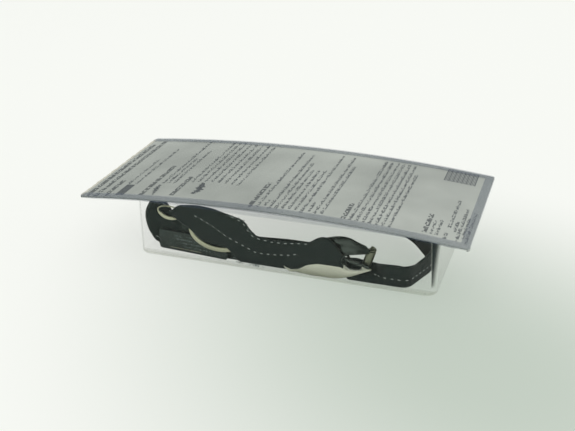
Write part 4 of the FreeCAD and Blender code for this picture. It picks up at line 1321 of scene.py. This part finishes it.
        # dark is the nickel painted darker, a painted dark reflection and shade
        dark, dull = palette.painted_dark_reflection_nickel, palette.roller
        rows = (
            ("buckle_plate", "buckle_leaf_plate", self.plate_edge, palette.nickel, Body.PACK, "nickel"),
            ("heel_bar", "buckle_heel_bar", self.small_edge, dark, Body.PACK, "nickel"),
            ("toe_pin", "buckle_toe_pin", self.small_edge, dull, Body.PACK, "nickel"),
            ("eyelet", "tail_eyelet", 0.1, dark, Body.PACK, "nickel"),
            ("prong", "buckle_prong", 0.3, dark, Body.PRONG, "nickel"),
            ("toe_roller", "buckle_roller", 0.6, dull, Body.ROLLER, "roller_metal"),
        )
        for node, name, edge, finish, body, slot in rows:
            piece = refined(node, name, edge)
            hand_in(piece, body, slot, finish)
            if node == "buckle_plate":
                smooth(piece, 80.0)
                self.paint_dark_reflection(piece, palette)
                self.sink_leaf(piece)
                self.upper_bar(palette)
                self.leaf(palette)
                self.window_rim(piece, palette)
        self.rings(palette)


@dataclass(frozen=True)
class SoftTabs:
    """The webbing tabs round the rings' bars."""

    edge: float = 0.14

    def build(self, palette: Palette) -> None:
        """Makes each tab as rounded cloth.

        Args:
            palette: the finishes.
        """
        for node in ("ring_tab_large", "ring_tab_small"):
            piece = refined(node, node + "_cloth", self.edge)
            hand_in(piece, Body.PACK, "tab_webbing", palette.tab_webbing)


@dataclass(frozen=True)
class TextRun:
    """One greeked line: where it lies along the piece and from where to where it runs."""

    at: float
    start: float
    end: float
    bold: bool = False


class Greeking:
    """Rows of small marks that stand for print, with no letters in them."""

    def __init__(self, seed: int) -> None:
        """Starts from a fixed seed, so that each run gives the same marks."""
        self.dice = random.Random(seed)

    def line(self, run: TextRun, cell: float, height: float) -> bpy.types.Object:
        """One line of marks, flat, along Y.

        Args:
            run: the line.
            cell: a mark's smallest width.
            height: the marks' height.

        Returns:
            The line's mesh, in millimetres about its place.
        """
        length = abs(run.end - run.start)
        count = max(4, round(length / cell))
        piece = grid("greeked_line", 3, count)
        keep: set[tuple[int, int]] = set()
        at = 0
        while at < count:
            for _ in range(self.dice.randint(2, 8)):
                width = self.dice.choice((1, 2, 2, 3) if not run.bold else (2, 2, 3, 3))
                thin = ((0, 1), (0, 1), (0, 1, 2), (0,), (1,), (0, 2))
                rows = self.dice.choice(((0, 1, 2), (0, 1), (0, 2), (0, 1, 2)) if run.bold else thin)
                for i in range(at, min(at + width, count)):
                    keep.update((i, j) for j in rows)
                at += width + 1
            at += 2
        mesh = piece.data
        for face in mesh.polygons:
            i = int((face.center.y + 0.5) * count)
            j = int((face.center.x + 0.5) * 3)
            face.select = (i, 2 - j) not in keep
        for part in list(mesh.vertices) + list(mesh.edges):
            part.select = False
        bpy.context.view_layer.objects.active = piece
        bpy.ops.object.mode_set(mode="EDIT")
        bpy.ops.mesh.select_mode(type="FACE")
        bpy.ops.mesh.delete(type="FACE")
        bpy.ops.object.mode_set(mode="OBJECT")
        low, high = sorted((run.start, run.end))
        piece.scale = (height, high - low, 1.0)
        piece.location = (run.at, (low + high) / 2, 0.0)
        return piece

    def block(self, name: str, runs: Iterable[TextRun], cell: float, height: float) -> bpy.types.Object:
        """Several lines in one piece.

        Args:
            name: the piece's name.
            runs: the lines.
            cell: a mark's smallest width.
            height: a plain line's height, a third less than a bold one's.

        Returns:
            The joined lines.
        """
        sizes = {False: (cell, height), True: (cell * 1.25, height * 1.4)}
        return join([self.line(run, *sizes[run.bold]) for run in runs], name)


@dataclass
class PrintedCard:
    """The backing card's grey board and its greeked print."""

    length: float = 250.0
    width: float = 112.6
    sheet: Point2 = (1500.0, 560.0)
    lift: float = 0.06
    slide: Table = (
        (0.0, 0.0), (150.0, 22.0), (255.0, 27.0), (425.0, 38.0), (530.0, 52.0), (633.0, 58.0),
        (1010.0, 32.0), (1190.0, 18.0), (1322.0, 9.0), (1500.0, 0.0),
    )
    drop: Table = (
        (0.0, 0.0), (425.0, 5.0), (633.0, 45.0), (1010.0, 28.0), (1190.0, 26.0), (1322.0, -5.0),
        (1500.0, 0.0),
    )
    plain: float = 2.1
    cell: float = 0.36
    heading_rows: tuple[tuple[int, int, int], ...] = (
        (25, 550, 60), (55, 550, 30), (90, 545, 415), (218, 525, 265), (333, 510, 350),
        (633, 495, 300), (1010, 497, 385), (1322, 515, 385),
    )
    line_rows: tuple[tuple[int, int, int], ...] = (
        (122, 445, 215), (148, 440, 105), (252, 420, 14), (271, 415, 190), (292, 415, 110),
        (355, 395, 12), (378, 388, 12), (402, 382, 12), (427, 378, 12), (452, 375, 14),
        (477, 372, 12), (502, 370, 12), (526, 370, 12), (662, 492, 12), (688, 475, 432),
        (712, 492, 28), (738, 492, 105), (762, 482, 165), (788, 480, 158), (814, 482, 155),
        (842, 494, 12), (868, 480, 410), (894, 492, 12), (920, 485, 95), (1037, 497, 12),
        (1063, 497, 12), (1089, 498, 12), (1114, 498, 12), (1140, 500, 12), (1165, 500, 12),
        (1190, 500, 85), (1345, 516, 425), (1367, 516, 410), (1402, 450, 250), (1400, 528, 490),
        (1425, 470, 400), (1443, 528, 300), (1460, 500, 360), (1477, 530, 310),
    )
    fold_span: Point2 = (-54.6, 55.0)
    fold_at: Point2 = (-123.9, -124.6)
    fold_steps: int = 60
    bar_count: int = 22
    bar_start: Point2 = (94.5, 44.0)
    bar_pitch: float = 0.95

    def run(self, at: float, near: float, far: float, bold: bool = False) -> TextRun:
        """A line from its place on the flat card drawing.

        Args:
            at: distance along the drawing.
            near: where it starts, from the far edge.
            far: where it ends.
            bold: whether it is a heading.

        Returns:
            The line in millimetres.
        """
        bowed = at + look_up(self.slide, at)
        drop = look_up(self.drop, at)
        x = -self.length / 2 + bowed * self.length / self.sheet[0]
        rows = [self.width / 2 - (v + drop) * self.width / self.sheet[1] for v in (near, far)]
        return TextRun(x, rows[0], rows[1], bold)

    def runs(self, rows: Iterable[tuple[int, int, int]], bold: bool) -> list[TextRun]:
        """The lines of one kind."""
        return [self.run(*row, bold) for row in rows]

    def bars(self) -> bpy.types.Object:
        """An even row of plain bars.

        Returns:
            The joined bars.
        """
        bars = []
        for i in range(self.bar_count):
            piece = grid("plain_bar", 1, 6)
            piece.scale = (0.45 if i % 3 else 0.75, 20.0, 1.0)
            piece.location = (self.bar_start[0] + i * self.bar_pitch, self.bar_start[1], 0.0)
            bars.append(piece)
        return join(bars, "card_bars")

    def signs(self) -> bpy.types.Object:
        """Plain geometric signs where the card has small pictures.

        Returns:
            The joined signs.
        """
        spots = (
            (249, 440, 1.3, 3), (250, 455, 1.7, 5), (252, 470, 2.1, 4), (256, 486, 1.8, 6),
            (259, 500, 1.2, 3), (262, 512, 0.9, 4), (402, 398, 1.5, 3), (405, 410, 2.1, 6),
            (409, 424, 2.8, 5), (405, 438, 2.4, 4), (416, 446, 2.2, 3), (410, 462, 2.5, 6),
            (404, 478, 1.8, 5),
        )
        signs = []
        block = grid("picture_block", 8, 12)
        block.scale = (34.0 * self.length / self.sheet[0], 86.0 * self.width / self.sheet[1], 1.0)
        middle = self.run(136, 490, 490)
        block.location = (middle.at, middle.start, 0.0)
        signs.append(block)
        for at, row, radius, sides in spots:
            line = self.run(at, row, row)
            place = (line.at, line.start, 0.0)
            bpy.ops.mesh.primitive_circle_add(
                vertices=sides * 4, radius=radius, fill_type="NGON", location=place
            )
            piece = bpy.context.object
            for vertex in piece.data.vertices:
                angle = math.atan2(vertex.co.y, vertex.co.x)
                vertex.co *= 0.55 + 0.45 * abs(math.cos(angle * sides / 2))
            signs.append(piece)
            deselect()
        return join(signs, "card_signs")

    def crease(self, tree: BVHTree, palette: Palette) -> None:
        """The pale doubled fold at the board's open left end.

        Args:
            tree: the board's faces.
            palette: the finishes.
        """
        dice = random.Random(8)
        sections = []
        for i, y in enumerate(np.linspace(*self.fold_span, self.fold_steps)):
            hit = tree.ray_cast(Vector((self.fold_at[0], float(y), 200.0)) * MM, -UP)[0]
            height = (hit.z / MM if hit else 37.3) - 0.1
            shift, rise = dice.uniform(-0.25, 0.25), dice.uniform(-0.1, 0.15)
            place = Vector((self.fold_at[1] + shift, float(y), height + rise))
            width = 0.0 if i in (0, self.fold_steps - 1) else dice.uniform(1.5, 2.1)
            sections.append(Section(place, ALONG, UP, width, 0.5))
        fold = sweep("card_crease", sections, 10, 0.7)
        hand_in(fold, Body.CARD, "card_board", palette.raw_board)

    def lay(self, piece: bpy.types.Object, tree: BVHTree) -> None:
        """Lowers flat print, in millimetres, onto the bowed board.

        Args:
            piece: the print.
            tree: the board's faces.
        """
        for vertex in piece.data.vertices:
            place = vertex.co * MM
            hit = tree.ray_cast(Vector((place.x, place.y, 0.2)), -UP)[0]
            height = hit.z if hit else 0.045
            vertex.co = Vector((place.x, place.y, height + self.lift * MM))

    def build(self, palette: Palette) -> None:
        """Makes the print and lays it on the board.

        Args:
            palette: the finishes.
        """
        board = Pack.nodes["backing_card"]
        paint(board, palette.board)
        tree = BVHTree.FromObject(board, bpy.context.evaluated_depsgraph_get())
        self.crease(tree, palette)
        greeking = Greeking(11)
        plain = greeking.block("card_text", self.runs(self.line_rows, False), self.cell, self.plain)
        bold = greeking.block("card_headings", self.runs(self.heading_rows, True), self.cell, self.plain)
        ink, dark = palette.ink, palette.dark_ink
        for piece, finish in ((plain, ink), (bold, dark), (self.bars(), ink), (self.signs(), dark)):
            self.lay(piece, tree)
            hand_in(piece, Body.CARD, "card_board", finish)
        LOG.info("card printed")


@dataclass
class SensingModule:
    """The flat module on the webbing, with its greeked marks."""

    face: float = 3.18
    rows: tuple[Point3, ...] = (
        (12.2, -38.0, -23.0), (9.9, -36.5, -17.0), (7.6, -34.0, -15.5), (5.3, -31.0, -12.0),
    )

    def on_face(self, piece: bpy.types.Object) -> None:
        """Stands flat marks, in millimetres along and up, on the module's face.

        Args:
            piece: the marks, drawn with height along X and their run along Y.
        """
        for vertex in piece.data.vertices:
            vertex.co = on_layer(vertex.co.y, vertex.co.x, self.face) * MM
        face_outwards(piece, 1e-7)

    def build(self, palette: Palette) -> None:
        """Dresses the module's nodes and makes its marks.

        Args:
            palette: the finishes.
        """
        cover = refined("module_cover", "module_cover_shell", 0.15)
        hand_in(cover, Body.PACK, "module_shell", palette.shell)
        for node, finish in (
            ("module_base", palette.shell),
            ("module_gasket", palette.rubber),
            ("module_screws", palette.steel),
            ("contact_strip", palette.brass),
            ("contact_rivet", palette.brass),
            ("resistor", palette.resistor),
            ("resistor_leads", palette.lead),
        ):
            paint(Pack.nodes[node], finish)
        marks = Greeking(5).block("module_marks", [TextRun(*row) for row in self.rows], 0.5, 1.1)
        # a thin pale line on the module's face, near its lower edge
        pale_line = grid("module_pale_line", 1, 20)
        pale_line.scale = (0.3, 23.0, 1.0)
        pale_line.location = (3.6, -30.0, 0.0)
        settle(pale_line)
        for piece, finish in ((marks, palette.mark), (pale_line, palette.pale_mark)):
            self.on_face(piece)
            hand_in(piece, Body.PACK, "module_shell", finish)
        LOG.info("module dressed")


class Pack:
    """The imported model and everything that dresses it."""

    nodes: dict[str, bpy.types.Object] = {}

    @classmethod
    def load(cls) -> None:
        """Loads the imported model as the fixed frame."""
        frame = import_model()
        cls.nodes = frame["nodes"]

    @staticmethod
    def dress(palette: Palette) -> None:
        """Builds each sub-assembly in order.

        Args:
            palette: the finishes.
        """
        Webbing().build(palette)
        Hardware().build(palette)
        SoftTabs().build(palette)
        SensingModule().build(palette)
        PrintedCard().build(palette)
        paint(Pack.nodes["blister_tray"], palette.sheet)


@dataclass(frozen=True)
class Viewpoint:
    """Where the photograph was taken from."""

    place: Point3 = (179.0, -535.0, 261.9)
    gaze: Point3 = (-0.2951, 0.8697, -0.3961)
    lens: float = 57.86

    def build(self) -> None:
        """Makes the scene's camera."""
        data = bpy.data.cameras.new("view")
        data.lens = self.lens
        data.sensor_width = 36.0
        data.clip_start, data.clip_end = 0.01, 20.0
        bpy.context.scene.camera = aim("view", data, Vector(self.place) * MM, Vector(self.gaze))


@dataclass(frozen=True)
class Studio:
    """A pale table in even light that comes mostly from above and behind."""

    rear: float = 1.5
    front: float = 1.0
    top: float = 0.85
    key: float = 1.6
    bands: tuple[tuple[float, str], ...] = (
        (0.0, "#A9B3A6"), (0.05, "#20282A"), (0.28, "#20282A"), (0.32, "#9DA99E"),
        (0.42, "#9DA99E"), (0.47, "#2A3231"), (0.8, "#5E6663"), (1.0, "#B4BAB6"),
    )

    def table(self) -> None:
        """Makes the table top."""
        top = grid("table_top", 8, 8)
        top.scale = (6.0, 6.0, 1.0)
        top.location = (0.0, 0.0, -0.0002)
        settle(top)
        paint(top, PaleTable("pale_table", "#E6EAE3", 0.85).build())

    def lamp(self, name: str, place: Point3, power: float) -> None:
        """Adds a soft square lamp, a metre wide, that faces the pack.

        Args:
            name: the lamp's name.
            place: its place in metres.
            power: its power in watts.
        """
        data = bpy.data.lights.new(name, "AREA")
        data.size = 1.0
        data.energy = power
        aim(name, data, Vector(place), -Vector(place))

    def world(self) -> None:
        """Makes the surroundings: white to the eye, a dark room with pale bands for what metal mirrors."""
        world = bpy.data.worlds.new("studio")
        world.use_nodes = True
        tree = world.node_tree
        tree.nodes.clear()
        path = add_node(tree, "LightPath").outputs
        where = add_node(tree, "TexCoord").outputs["Generated"]
        parts = add_node(tree, "SeparateXYZ", {0: where}).outputs
        room = add_node(tree, "ValToRGB", {0: parts["Z"]}, ramp=self.bands)
        behind = add_node(tree, "MapRange", {"Value": parts["Y"], "From Min": -0.15, "From Max": 0.3})
        mirrored = add_node(tree, "Mix", {0: behind, 6: room, 7: "#EDF1EE"}, data_type="RGBA")
        sides = {"From Min": -0.3, "From Max": 0.5, "To Min": self.front, "To Max": self.rear}
        wall = add_node(tree, "MapRange", {"Value": parts["Y"], **sides})
        overhead = {"From Min": 0.2, "From Max": 0.62, "To Min": wall, "To Max": self.top}
        strength = add_node(tree, "MapRange", {"Value": parts["Z"], **overhead})
        light, mirror, white = (
            add_node(tree, "Background", {"Color": colour, "Strength": power})
            for colour, power in (("#FCFDFB", strength), (mirrored, 1.0), ("#FEFEFD", 1.0))
        )
        seen = add_node(tree, "MixShader", {0: path["Is Glossy Ray"], 1: light, 2: mirror})
        seen = add_node(tree, "MixShader", {0: path["Is Camera Ray"], 1: seen, 2: white})
        add_node(tree, "OutputWorld", {"Surface": seen})
        bpy.context.scene.world = world

    def build(self) -> None:
        """Makes table, surroundings and lamps."""
        self.table()
        self.world()
        self.lamp("key_lamp", (-0.45, -0.25, 1.2), self.key)
        self.lamp("rear_lamp", (0.3, 0.9, 0.9), self.key * 0.6)
        bpy.context.scene.view_settings.view_transform = "Standard"


def main() -> None:
    """Dresses the pack."""
    logging.basicConfig(level=logging.INFO, format="%(message)s")
    Pack.load()
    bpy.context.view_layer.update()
    Viewpoint().build()
    Studio().build()
    Pack.dress(Palette())


if __name__ == "__main__":
    main()
